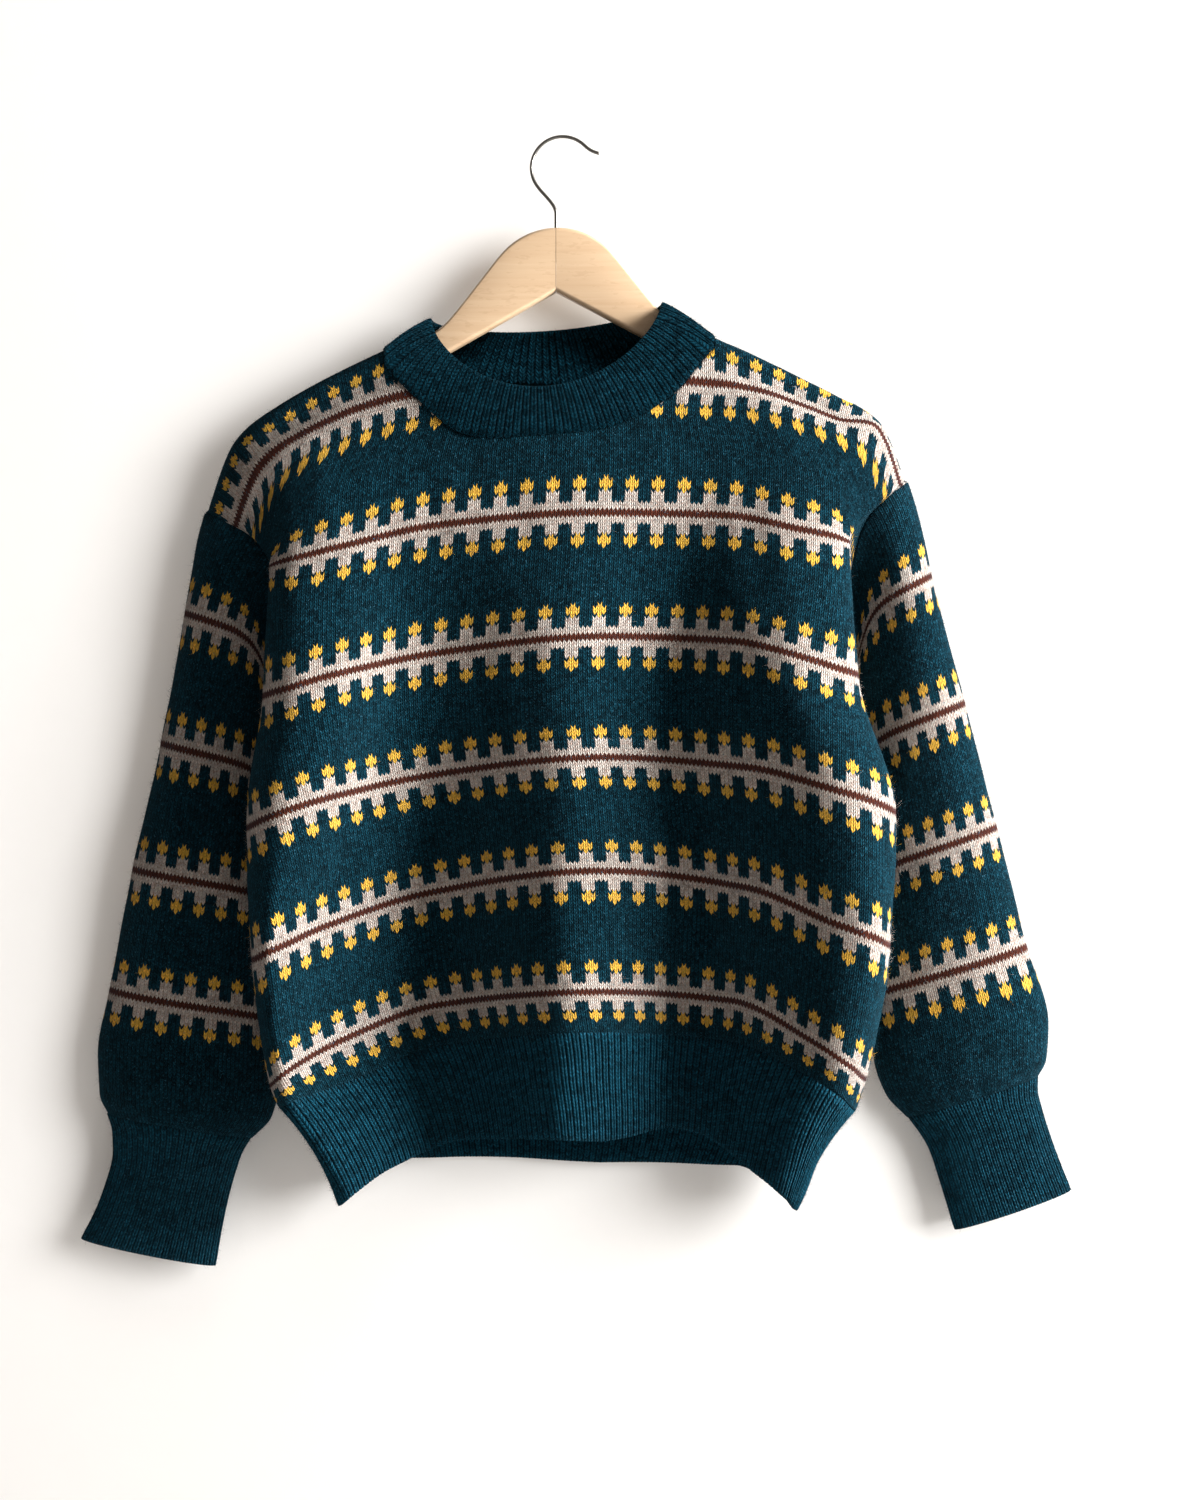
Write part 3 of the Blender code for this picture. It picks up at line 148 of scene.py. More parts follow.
LEAN = 1650.0           # a row in front of it hangs lower below LEVEL, and
LEVEL = -437.0          # higher above it, by the height over this length

# ---------------------------------------------------------- back panel folds
# x at each band, half width, and depth towards the body at each band
FOLD_BANDS = (-272.0, -358.0, -448.0, -533.0, -612.0, -700.0)
FOLD_COLUMNS = ("x", "half_width", "depth")
BACK_FOLDS = {
    "back_left":  ((-120, -118, -112, -108, -106, -104), 24, (1, 4, 7, 8, 8, 6)),
    "back_mid":   ((20, 16, 12, 8, 6, 4), 30, (0, 2, 4, 6, 6, 5)),
    "back_right": ((124, 122, 118, 116, 115, 112), 26, (1, 4, 6, 8, 8, 6)),
}

# ------------------------------------------------------------------ hem rib
HEM_COLUMNS = ("t", "x_l", "x_r", "z_c", "l50", "l80", "l92", "l100",
               "r50", "r80", "r92", "r100", "y_s")
HEM_ROWS = {
    "seam":   (0.00, -198, 204, -633, -642, -668, -678, -685, -639, -663, -678, -688, -20),
    "gather": (0.18, -184, 191, -646, -655, -681, -692, -701, -650, -676, -691, -703, -19),
    "upper":  (0.45, -170, 177, -668, -674, -699, -713, -724, -671, -699, -714, -725, -17),
    "lower":  (0.75, -162, 170, -691, -694, -716, -731, -744, -692, -719, -734, -745, -14),
    "edge":   (1.00, -158, 164, -709, -708, -728, -744, -758, -707, -734, -749, -759, -11),
}
HEM_DEPTH_ROWS = {         # the same columns as DEPTH_ROWS, from the share t
    "seam":   (0.0, -188, -62, -181, -56, -156, -36, -88, -4, 4, -58, 98, -14, 138, -46, 184, -76),
    "middle": (0.5, -160, -55, -153, -51, -132, -35, -80, -8, 3, -57, 98, -18, 130, -48, 161, -72),
    "edge":   (1.0, -146, -46, -139, -43, -119, -33, -76, -12, 2, -54, 98, -22, 122, -46, 149, -66),
}
HEM_WAVE_COLUMNS = ("x", "half_width", "rise")
HEM_WAVES = (              # where the free edge of the front rib rides up
    (74.0, 24.0, 7.5),
    (-30.0, 30.0, 1.0),
)
HEM_BACK_COLUMNS = ("t", "z_c", "l50", "l80", "l92", "r50", "r80", "r92")
HEM_BACK_ROWS = {
    "seam":   (0.00, -667, -671.6, -679.9, -684.5, -672.0, -681.1, -686.1),
    "edge":   (1.00, -736, -732.0, -731.5, -738.0, -736.5, -737.0, -742.0),
}
HEM_TUCK = ((11.0, 10.0), (9.0, 9.0))     # how far in the seam lies, l and r, top, bottom
HEM_TUCK_Y = 12.0
HEM_SIDE_RISE = 9.0         # how far the free edge rides up at the side seam

# ------------------------------------------------------------------ sleeves
# outer and inner edge of the sleeve for a ring of knitting, how far the ring
# dives towards the armpit, mid depth, depth to front and back, and how much
# thinner the sleeve is on the side of the body
SLEEVE_COLUMNS = ("row", "x_out", "z_out", "x_in", "z_in", "dive",
                  "y_mid", "front", "back", "skew")
SLEEVE_RIGHT = {          # the wearer's right, at -X
    "armhole": (0.0, -256.5, -267.5, -197.0, -295.5, 73, 11, 23, 21, 0.0),
    "upper":   (12.0, -263, -291, -209, -318, 60, 13, 26, 22, 0.2),
    "band_1":  (31.0, -271, -339, -211, -359, 40, 15, 33, 23, 0.45),
    "band_2":  (68.0, -289, -432, -208, -452, 18, 17, 32, 23, 0.58),
    "band_3":  (105.0, -308, -522, -204, -541, 7, 10, 28, 25, 0.58),
    "band_4":  (142.0, -326, -609, -207, -630, 2, 17, 27, 22, 0.5),
    "full":    (162.0, -334, -656, -208, -677, 0, 16, 24, 22, 0.35),
    "turn":    (172.0, -333, -683, -213, -700, 0, 15, 20, 19, 0.2),
    "cuff":    (178.0, -328, -698, -226, -716, 0, 14, 15, 15, 0.08),
}
SLEEVE_LEFT = {           # the wearer's left, at +X
    "armhole": (0.0, 245.6, -245.4, 200.0, -280.5, 71, 11, 23, 21, 0.0),
    "upper":   (12.0, 253, -268, 207, -302, 60, 13, 26, 22, 0.2),
    "band_1":  (31.0, 263, -312, 210, -340, 42, 15, 33, 23, 0.45),
    "band_2":  (68.0, 287, -403, 210, -434, 18, 17, 32, 23, 0.58),
    "band_3":  (105.0, 310, -492, 214, -526, 7, 17, 30, 23, 0.58),
    "band_4":  (142.0, 332, -578, 219, -613, 2, 17, 27, 22, 0.5),
    "full":    (160.0, 347, -631, 225, -660, 0, 16, 24, 22, 0.35),
    "turn":    (171.0, 345, -658, 234, -684, 0, 15, 20, 19, 0.2),
    "cuff":    (177.0, 340, -671, 248, -701, 0, 14, 15, 15, 0.08),
}
CUFF_COLUMNS = ("t", "x_out", "z_out", "x_in", "z_in", "half_depth")
CUFF_RIGHT = {
    "seam":  (0.00, -328, -698, -226, -716, 15),
    "pull":  (0.13, -323.5, -710, -233, -726, 13),
    "wrist": (0.30, -323, -725, -238, -740, 12),
    "mid":   (0.60, -330, -753, -245, -767, 11),
    "edge":  (1.00, -347, -789, -252, -808, 11),
}
CUFF_LEFT = {
    "seam":  (0.00, 340, -671, 248, -701, 15),
    "pull":  (0.13, 339, -681, 257, -712, 13),
    "wrist": (0.30, 342, -694, 264, -724, 12),
    "mid":   (0.60, 350, -719, 272, -748, 11),
    "edge":  (1.00, 364, -754, 282, -782, 11),
}
CUFF_Y = 14.0

# ----------------------------------------------------------------- neckband
NECK_MID_X = -12.4
NECK_HALF_X = 81.8
NECK_SIDE_Z = (-130.0, -118.4)   # height of the free edge at -X and at +X
NECK_FRONT = (40.0, 59.0)        # how far forward and how far down it dips
NECK_BACK = (20.0, 10.0)
NECKBAND_SWELL = 2.2


# ===================================================================== tools
def pchip(xs, ys, q):
    """Monotone cubic through the points (xs, ys), read at q."""
    xs = np.asarray(xs, float)
    ys = np.asarray(ys, float)
    q = np.asarray(q, float)
    h = np.diff(xs)
    d = np.diff(ys) / h
    m = np.zeros_like(ys)
    if len(xs) == 2:
        m[:] = d[0]
    else:
        for i in range(1, len(xs) - 1):
            if d[i - 1] * d[i] > 0:
                w1 = 2 * h[i] + h[i - 1]
                w2 = h[i] + 2 * h[i - 1]
                m[i] = (w1 + w2) / (w1 / d[i - 1] + w2 / d[i])
        m[0] = ((2 * h[0] + h[1]) * d[0] - h[0] * d[1]) / (h[0] + h[1])
        if m[0] * d[0] <= 0:
            m[0] = 0.0
        elif d[0] * d[1] <= 0 and abs(m[0]) > 3 * abs(d[0]):
            m[0] = 3 * d[0]
        m[-1] = ((2 * h[-1] + h[-2]) * d[-1] - h[-1] * d[-2]) / (h[-1] + h[-2])
        if m[-1] * d[-1] <= 0:
            m[-1] = 0.0
        elif d[-1] * d[-2] <= 0 and abs(m[-1]) > 3 * abs(d[-1]):
            m[-1] = 3 * d[-1]
    i = np.clip(np.searchsorted(xs, q, side="right") - 1, 0, len(xs) - 2)
    t = np.clip((q - xs[i]) / h[i], 0.0, 1.0)
    t2, t3 = t * t, t * t * t
    return ((2 * t3 - 3 * t2 + 1) * ys[i] + (t3 - 2 * t2 + t) * h[i] * m[i]
            + (-2 * t3 + 3 * t2) * ys[i + 1] + (t3 - t2) * h[i] * m[i + 1])


def smooth(a, b, x):
    t = np.clip((x - a) / (b - a), 0.0, 1.0)
    return t * t * (3 - 2 * t)


def read(columns, rows, at):
    """Every column of a table at the position `at` of its first column."""
    keys = [r[0] for r in rows.values()]
    return {c: float(pchip(keys, [r[i + 1] for r in rows.values()], at))
            for i, c in enumerate(columns[1:])}


def arc(points):
    d = np.linalg.norm(np.diff(points, axis=0), axis=1)
    return np.concatenate([[0.0], np.cumsum(d)])


def unit(v):
    n = np.linalg.norm(v, axis=-1, keepdims=True)
    return v / np.where(n < 1e-9, 1.0, n)


# ============================================================ armhole, sleeve
def ring_point(p, phi, side):
    """Point of a sleeve ring: phi 0 is the outer edge, pi the armpit side,
    0..pi runs over the front and pi..2 pi over the back."""
    phi = np.asarray(phi, float)
    c, s = np.cos(phi), np.sin(phi)
    inner = (1 - c) / 2
    x = p["x_out"] + (p["x_in"] - p["x_out"]) * inner
    z = p["z_out"] + (p["z_in"] - p["z_out"]) * inner - p["dive"] * inner ** 8
    depth = np.where(s > 0, p["front"], p["back"])
    y = p["y_mid"] - 3 + 6 * inner - depth * s * (1 - p["skew"] * inner)
    return np.stack([x, y, z], -1)


SLEEVES = {"right": SLEEVE_RIGHT, "left": SLEEVE_LEFT}
_ring_cache = {}


def ring(side, face, row):
    """(share, points, phi) of half a sleeve ring, from the wale that meets
    the shoulder seam to the underarm, over the front or over the back."""
    key = (side, face, row)
    if key not in _ring_cache:
        table = SLEEVES[side]
        last_row = list(table.values())[-1][0]
        p = read(SLEEVE_COLUMNS, table, min(row, last_row))
        first = ARMHOLE_START[side] * float(smooth(60.0, 0.0, row))
        phi = np.linspace(first, math.pi if face == "front" else -math.pi, 241)
        pts = ring_point(p, phi, side)
        a = arc(pts)
        _ring_cache[key] = (a / a[-1], pts, phi)
    return _ring_cache[key]


def armhole(side, face, v):
    """Point of the armhole for row v of the front or back panel."""
    share, pts, _ = ring(side, face, 0.0)
    f = (V_TOP - v) / (V_TOP - V_UNDERARM)
    return np.array([np.interp(f, share, pts[:, i]) for i in range(3)])


def sleeve_point(side, face, share, row):
    s, pts, _ = ring(side, face, row)
    return np.array([np.interp(share, s, pts[:, i]) for i in range(3)])


# ====================================================================== body
def folds(table, x, z):
    """Depth that the folds of the back add at (x, z)."""
    out = np.zeros_like(x)
    bands = np.array(FOLD_BANDS)[::-1]
    for xs, width, depth in table.values():
        xf = pchip(bands, np.array(xs, float)[::-1], np.clip(z, bands[0], bands[-1]))
        d = pchip(bands, np.array(depth, float)[::-1], np.clip(z, bands[0], bands[-1]))
        d = d * smooth(FOLD_BANDS[0] + 70, FOLD_BANDS[0], z)
        t = (x - xf) / width
        out += d * np.exp(-t * t)
    return out


def tuck(side, v):
    t = read(TUCK_COLUMNS, TUCK_ROWS, min(v, 138.0))
    s = "l" if side == "right" else "r"
    low = np.array([t["x_" + s], t["y"], t["z_" + s]])
    share = t["seam_share"]
    if v > 138.0:
        f = (v - 138.0) / (V_UNDERARM - 138.0)
        under = armhole(side, "front", V_UNDERARM)
        low = low * (1 - f) + under * f
        share = share * (1 - f) + f
    return low, share


def over(down):
    """How far forward and down the cloth is, `down` rows in front of the
    ridge of the shoulder; behind the ridge `down` is negative."""
    rows = [r[0] for r in OVER_ROWS.values()]
    d = np.abs(down)
    return (-np.sign(down) * pchip(rows, [r[1] for r in OVER_ROWS.values()], d),
            pchip(rows, [r[2] for r in OVER_ROWS.values()], d))


DEPTH_POINTS = ("crest_l", "brink", "foot", "valley_a", "crest_m", "valley_b",
                "ledge", "crest_r")


def depth_line(d, s, x, xs, ys):
    """Depth of a front row at x: its folds, rounded off to the silhouette."""
    kx = [d[c + "_x"] for c in DEPTH_POINTS]
    ky = [d[c + "_y"] for c in DEPTH_POINTS]
    y = pchip([kx[0] - 10] + kx + [kx[-1] + 10], [ky[0]] + ky + [ky[-1]], x)
    cx, cy = (kx[0], ky[0]) if s == "l" else (kx[-1], ky[-1])
    t = np.clip((x - cx) / (xs - cx), 0.0, 1.0)
    return np.where(t > 0, ys + (cy - ys) * (1 - t ** 2.2) ** (1 / 2.2), y)


def half_row(p, s, crest, xs, ys, d=None, n=140):
    """From the crest to one silhouette: x, y, z. The back is a squared
    ellipse; the front follows its folds `d`."""
    th = np.linspace(0, math.pi / 2, n)
    xi = np.sin(th) ** (2 / 2.35)
    eta = np.cos(th) ** (2 / 2.35)
    x = crest + (xs - crest) * xi
    z = pchip((0, 0.5, 0.8, 0.92, 1.0),
              [p["z_c"]] + [p[s + c] for c in ("50", "80", "92", "100")], xi)
    if d is None:
        return np.stack([x, ys + (p["y_c"] - ys) * eta, z], -1), xi
    y = depth_line(d, s, x, xs, ys)
    lean = (z - LEVEL) / LEAN * (y - FRONT_PLANE) * (1 - smooth(0.92, 1.0, xi))
    return np.stack([x, y, z + lean], -1), xi


def wrap_curve(a, b, n=24):
    """From the silhouette a back and in to b, leaving a straight back."""
    t = np.linspace(0, 1, n)[:, None]
    c = np.array([a[0] + 0.12 * (b[0] - a[0]), a[1] + 0.62 * (b[1] - a[1]),
                  a[2] + 0.5 * (b[2] - a[2])])
    return a * (1 - t) ** 2 + 2 * c * t * (1 - t) + b * t * t


def seam_behind(side, xi):
    """Rows between the ridge of the shoulder and the seam behind it."""
    return SEAM_BEHIND[side] * np.maximum(0.0, xi - SEAM_STRAIGHT) / (1 - SEAM_STRAIGHT)


_row_cache = {}


def body_row(face, v):
    """(k, points) of a whole knitted row of the front or the back panel."""
    key = (face, round(v, 5))
    if key in _row_cache:
        return _row_cache[key]
    top = float(smooth(180.0, 199.0, v))                 # 1 where no fold is left
    p = read(FRONT_COLUMNS, FRONT_ROWS, v)
    ridge = FRONT_ROWS["seam"]
    crest = CREST_X[0] + (CREST_X[1] - CREST_X[0]) * float(smooth(162.0, V_TOP, v))
    deep = read(DEPTH_COLUMNS, DEPTH_ROWS, v)
    ends = {}
    for side, s in (("right", "l"), ("left", "r")):
        if v > V_UNDERARM:
            ends[side] = (armhole(side, face, v), 1.0)
        else:
            ends[side] = tuck(side, v)
    pts_by_side = {}
    for side, s in (("right", "l"), ("left", "r")):
        end, share = ends[side]
        sign = -1.0 if side == "right" else 1.0
        if face == "front":
            base = dict(p)
            sil = np.array([p["x_" + s], p["y_s"], p[s + "100"]])
            rim = end - np.array([sign * 2.2, 0.6, -0.4])
            g = 0.0
            if v > V_UNDERARM:
                g = max(top, float(smooth(4.0, 14.0, sign * (end[0] - sil[0]))))
            sil = sil * (1 - g) + rim * g
        else:
            b = read(BACK_COLUMNS, BACK_ROWS, v)
            rise = b["z_c"] - (end[2] + 2.0)
            base = {"z_c": b["z_c"], "y_c": b["y_c"]}
            for c, f in (("50", 0.5), ("80", 0.8), ("92", 0.92), ("100", 1.0)):
                base[s + c] = b["z_c"] - rise * f ** b["fall_power"]
            if v > 162.0:     # the shoulder slope takes over from the arch
                g = float(smooth(162.0, 199.0, v))
                for c, f in (("50", 0.5), ("80", 0.8), ("92", 0.92), ("100", 1.0)):
                    slope = read(FRONT_COLUMNS, FRONT_ROWS,
                                 v - float(seam_behind(side, f)))[s + c]
                    base[s + c] = base[s + c] * (1 - g) + slope * g
            sil = end - np.array([sign * 7.0, -1.5, -1.0]) * (1 - top) \
                - np.array([sign * 2.2, 0.6, -0.4]) * top
        base[s + "100"] = sil[2]
        curve, xi = half_row(base, s, crest, sil[0], sil[1],
                             deep if face == "front" else None)
        # rows that lie on the hanger follow its arm, except in the neck
        rows_behind = seam_behind(side, xi)
        down = (V_TOP - v - rows_behind) if face == "front" \
            else -(V_TOP - v + rows_behind)
        fwd, drop = over(down)
        near = smooth(19.0, 8.0, np.abs(down))
        mid_x, half_x = sum(NECK_X) / 2, (NECK_X[1] - NECK_X[0]) / 2
        on = near * smooth(0.5, 1.0, np.abs(curve[:, 0] - mid_x) / half_x)
        stops = (0, 0.5, 0.8, 0.92, 1.0)
        o = {"l": 4, "r": 8}[s]
        far = ridge[{"l": 1, "r": 2}[s]]
        line = pchip(stops, (ridge[3], *ridge[o:o + 4]),
                     (curve[:, 0] - CREST_X[1]) / (far - CREST_X[1]))
        arm = pchip(stops, (ridge[3], *ridge[o:o + 3], sil[2]), xi)
        last = smooth(0.80, 1.0, xi)
        curve[:, 1] += on * (fwd + (sil[1] - fwd) * last - curve[:, 1])
        curve[:, 2] += on * ((line - drop) * (1 - last) + arm * last - curve[:, 2])
        fade = (1 - near) * (1 - xi ** 10)
        if face == "back":
            curve[:, 1] -= folds(BACK_FOLDS, curve[:, 0], curve[:, 2]) * fade
        wrap = wrap_curve(curve[-1], end) if v > V_UNDERARM or face == "front" \
            else wrap_curve(curve[-1], end, 8)
        if v <= V_UNDERARM:
            full = _front_wrap(side, v)
            cut = share * (len(full) - 1)
            i = np.arange(len(full))
            if face == "front":
                t = np.linspace(0, cut, 24)
                wrap = np.stack([np.interp(t, i, full[:, c]) for c in range(3)], -1)
            else:
                t = np.linspace(len(full) - 1, cut, 24)
                tail = np.stack([np.interp(t, i, full[:, c]) for c in range(3)], -1)
                wrap = np.concatenate([wrap, tail[1:]]) if share < 0.999 else wrap
        pts_by_side[side] = (curve, wrap)
    lc, lw = pts_by_side["right"]
    rc, rw = pts_by_side["left"]
    if face == "front":
        parts = [(lw[::-1], -HALF_REPEATS, -p["k_l"]),
                 (np.concatenate([lc[::-1], rc[1:]]), -p["k_l"], p["k_r"]),
                 (rw, p["k_r"], HALF_REPEATS)]
        ks, pts = [], []
        for seg, k0, k1 in parts:
            a = arc(seg)
            if a[-1] < 1e-6:
                continue
            ks.append(k0 + (k1 - k0) * a / a[-1])
            pts.append(seg)
        pts_all = np.concatenate([pts[0]] + [q_[1:] for q_ in pts[1:]])
        k_all = np.concatenate([ks[0]] + [q_[1:] for q_ in ks[1:]])
    else:
        pts_all = np.concatenate([lw[::-1], lc[::-1][1:], rc[1:], rw[1:]])
        a = arc(pts_all)
        k_all = -HALF_REPEATS + 2 * HALF_REPEATS * a / a[-1]
    # on the shoulders the repeats are even from the neckline to the armhole
    even = float(smooth(180.0, V_TOP, v))
    a = arc(pts_all)
    marks = [0.0] + [float(np.interp(x, pts_all[:, 0], a)) for x in NECK_X] + [a[-1]]
    k_even = np.interp(a, marks, (-HALF_REPEATS, *NECK_K, HALF_REPEATS))
    k_all = k_all * (1 - even) + k_even * even
    _row_cache[key] = (k_all, pts_all)
    return _row_cache[key]


def _front_wrap(side, v):
    p = read(FRONT_COLUMNS, FRONT_ROWS, v)
    s = "l" if side == "right" else "r"
    sil = np.array([p["x_" + s], p["y_s"], p[s + "100"]])
    return wrap_curve(sil, tuck(side, v)[0], 60)


def body_point(face, k, v):
    ks, pts = body_row(face, v)
    return np.array([np.interp(k, ks, pts[:, i]) for i in range(3)])


def neck_row(face, k):
    """Top row of the panel at repeat k, cut out by the neckline."""
    k0, k1 = NECK_K
    c = (k - (k0 + k1) / 2) / ((k1 - k0) / 2)
    if abs(c) >= 1.0:
        return V_TOP
    side = V_TOP - NECK_SIDE_ROWS[-1]
    if face == "back":
        return side - (NECK_BACK_ROWS - NECK_SIDE_ROWS[-1])
    c += NECK_SKEW * (1 - c * c)
    return side - (NECK_FRONT_ROWS - NECK_SIDE_ROWS[-1]) * (1 - abs(c) ** NECK_POWER)


def neck_columns():
    """Columns inside the neckline, without its two straight sides."""
    k0, k1 = NECK_K
    th = np.linspace(0, math.pi, NECK_STEPS + 1)[1:-1]
    return list((k0 + k1) / 2 - (k1 - k0) / 2 * np.cos(th))


def columns():
    return (list(K_COLUMNS_SIDE_L) + [NECK_K[0]] + neck_columns() + [NECK_K[1]]
            + list(K_COLUMNS_SIDE_R))


def panel_grid(face, cols, low, high):
    """Grid [column][row] of one body panel."""
    grid = []
    sides = [V_TOP - r for r in NECK_SIDE_ROWS[::-1]]       # below the seam
    for k in cols:
        top = min(neck_row(face, k), sides[0])
        rows = list(low) + [V_UNDERARM + (top - V_UNDERARM) * h for h in high[1:]]
        if NECK_K[0] < k < NECK_K[1]:
            rows += [top] * len(sides)                      # cells left out
        else:
            rows += sides[1:] + [V_TOP]
        grid.append([body_point(face, k, v) for v in rows])
    return np.array(grid)


# ================================================================== hem rib
def hem_row(face, t):
    p = read(HEM_COLUMNS, HEM_ROWS, t)
    tx_l = p["x_l"] + HEM_TUCK[0][0] + (HEM_TUCK[1][0] - HEM_TUCK[0][0]) * t
    tx_r = p["x_r"] - HEM_TUCK[0][1] - (HEM_TUCK[1][1] - HEM_TUCK[0][1]) * t
    ty = HEM_TUCK_Y
    share = TUCK_ROWS["hem"][-1]
    halves = {}
    for side, s, tx in (("right", "l", tx_l), ("left", "r", tx_r)):
        sil = np.array([p["x_" + s], p["y_s"], p[s + "100"]])
        tz = (p[s + "100"] - (5.0 if side == "right" else 4.0) * (1 - t)
              + HEM_SIDE_RISE * t * t)
        end = np.array([tx, ty, tz])
        full = wrap_curve(sil, end, 60)
        i = np.arange(len(full))
        if face == "front":
            curve, xi = half_row(p, s, CREST_X[0], sil[0], sil[1],
                                 read(DEPTH_COLUMNS, HEM_DEPTH_ROWS, t))
            for x, half, rise in HEM_WAVES:
                curve[:, 2] += rise * t * np.exp(-((curve[:, 0] - x) / half) ** 2)
            u = np.linspace(0, share * 59, 12)
            wrap = np.stack([np.interp(u, i, full[:, c]) for c in range(3)], -1)
        else:
            sign = -1.0 if side == "right" else 1.0
            rim = end - np.array([sign * 7.0, -1.5, -1.0])
            base = dict(read(HEM_BACK_COLUMNS, HEM_BACK_ROWS, t), y_c=28.0)
            base[s + "100"] = rim[2]
            curve, xi = half_row(base, s, CREST_X[0], rim[0], rim[1])
            curve[:, 1] -= folds(BACK_FOLDS, curve[:, 0], curve[:, 2]) * (1 - xi ** 10)
            wrap = wrap_curve(curve[-1], end, 8)
            u = np.linspace(59, share * 59, 24)
            tail = np.stack([np.interp(u, i, full[:, c]) for c in range(3)], -1)
            wrap = np.concatenate([wrap, tail[1:]])
        halves[side] = (curve, wrap)
    lc, lw = halves["right"]
    rc, rw = halves["left"]
    ks0, pts0 = body_row(face, 0.0)
    pts = np.concatenate([lw[::-1], lc[::-1][1:], rc[1:], rw[1:]])
    a = arc(pts)
    a0 = arc(pts0)
    # the same share of the row belongs to the same repeat as at the seam
    ks = np.interp(a / a[-1], a0 / a0[-1], ks0)
    return ks, pts


def hem_grid(face, cols, steps):
    grid = []
    rows = [hem_row(face, t) for t in steps]
    for k in cols:
        line = [body_point(face, k, 0.0)]
        for ks, pts in rows[1:]:
            line.append(np.array([np.interp(k, ks, pts[:, i]) for i in range(3)]))
        grid.append(line)
    return np.array(grid)


# ================================================================== sleeves
def sleeve_grid(side, levels, wales):
    return np.array([[sleeve_point(side, face, share, r) for r in levels]
                     for face, share in wales])


def cuff_ring(side, t, phi):
    table = CUFF_RIGHT if side == "right" else CUFF_LEFT
    p = read(CUFF_COLUMNS, table, t)
    c, s = math.cos(phi), math.sin(phi)
    inner = (1 - c) / 2
    skew = 1 - 0.08 * (1 - t) * inner
    x = p["x_out"] + (p["x_in"] - p["x_out"]) * inner
    z = p["z_out"] + (p["z_in"] - p["z_out"]) * inner
    y = CUFF_Y + (6 * inner - 3) * (1 - t) - p["half_depth"] * s * skew
    return np.array([x, y, z])


def cuff_grid(side, steps, wales):
    grid = []
    last = list(SLEEVES[side].values())[-1][0]
    for face, share in wales:
        s, _, phi = ring(side, face, last)
        a = float(np.interp(share, s, phi))
        grid.append([cuff_ring(side, t, a) for t in steps])
    return np.array(grid)


# ================================================================= neckband
def neck_ring(front, back, cols):
    """Neckline as a closed list of (face, column, row) of the two panels."""
    n = front.shape[1]
    m = len(NECK_SIDE_ROWS)
    a, b = cols.index(NECK_K[0]), cols.index(NECK_K[1])
    ring_ = [("front", a, n - 1 - i) for i in range(m + 1)]
    ring_ += [("front", i, n - 1 - m) for i in range(a + 1, b)]
    ring_ += [("front", b, n - 1 - i) for i in range(m, -1, -1)]
    ring_ += [("back", b, n - 1 - i) for i in range(1, m + 1)]
    ring_ += [("back", i, n - 1 - m) for i in range(b - 1, a, -1)]
    ring_ += [("back", a, n - 1 - i) for i in range(m, 0, -1)]
    return ring_


def neckband_grid(front, back, cols, steps):
    """Closed ring of lines from the neckline seam to the free edge."""
    k0, k1 = NECK_K
    mid, half = (k0 + k1) / 2, (k1 - k0) / 2
    n = front.shape[1]
    grid = []
    for face, i, j in neck_ring(front, back, cols):
        seam = (front if face == "front" else back)[i, j]
        if k0 < cols[i] < k1:
            c = (cols[i] - mid) / half
            s = max(0.34, math.sqrt(max(0.0, 1 - c * c)))
            c = math.copysign(math.sqrt(1 - s * s), c)
        else:
            s = (0.0, 0.11, 0.19, 0.27)[n - 1 - j]
            c = math.copysign(math.sqrt(1 - s * s), cols[i] - mid)
        side_z = NECK_SIDE_Z[0] + (NECK_SIDE_Z[1] - NECK_SIDE_Z[0]) * (c + 1) / 2
        fwd, dip = NECK_FRONT if face == "front" else NECK_BACK
        sgn = -1.0 if face == "front" else 1.0
        free = np.array([NECK_MID_X + NECK_HALF_X * c,
                         sgn * fwd * s ** 0.9,
                         side_z - dip * s ** 1.3])
        out = unit(np.array([c * 0.7, sgn * s, 0.55]))
        grid.append([seam + (free - seam) * t + out * NECKBAND_SWELL * 4 * t * (1 - t)
                     for t in steps])
    return np.array(grid)


# ============================================================ cloth to walls
def normals(grid, closed):
    g = grid
    if closed:
        gp = np.concatenate([g[-1:], g, g[:1]])
        du = (gp[2:] - gp[:-2])
    else:
        du = np.gradient(g, axis=0)
    dv = np.gradient(g, axis=1)
    return unit(np.cross(du, dv))


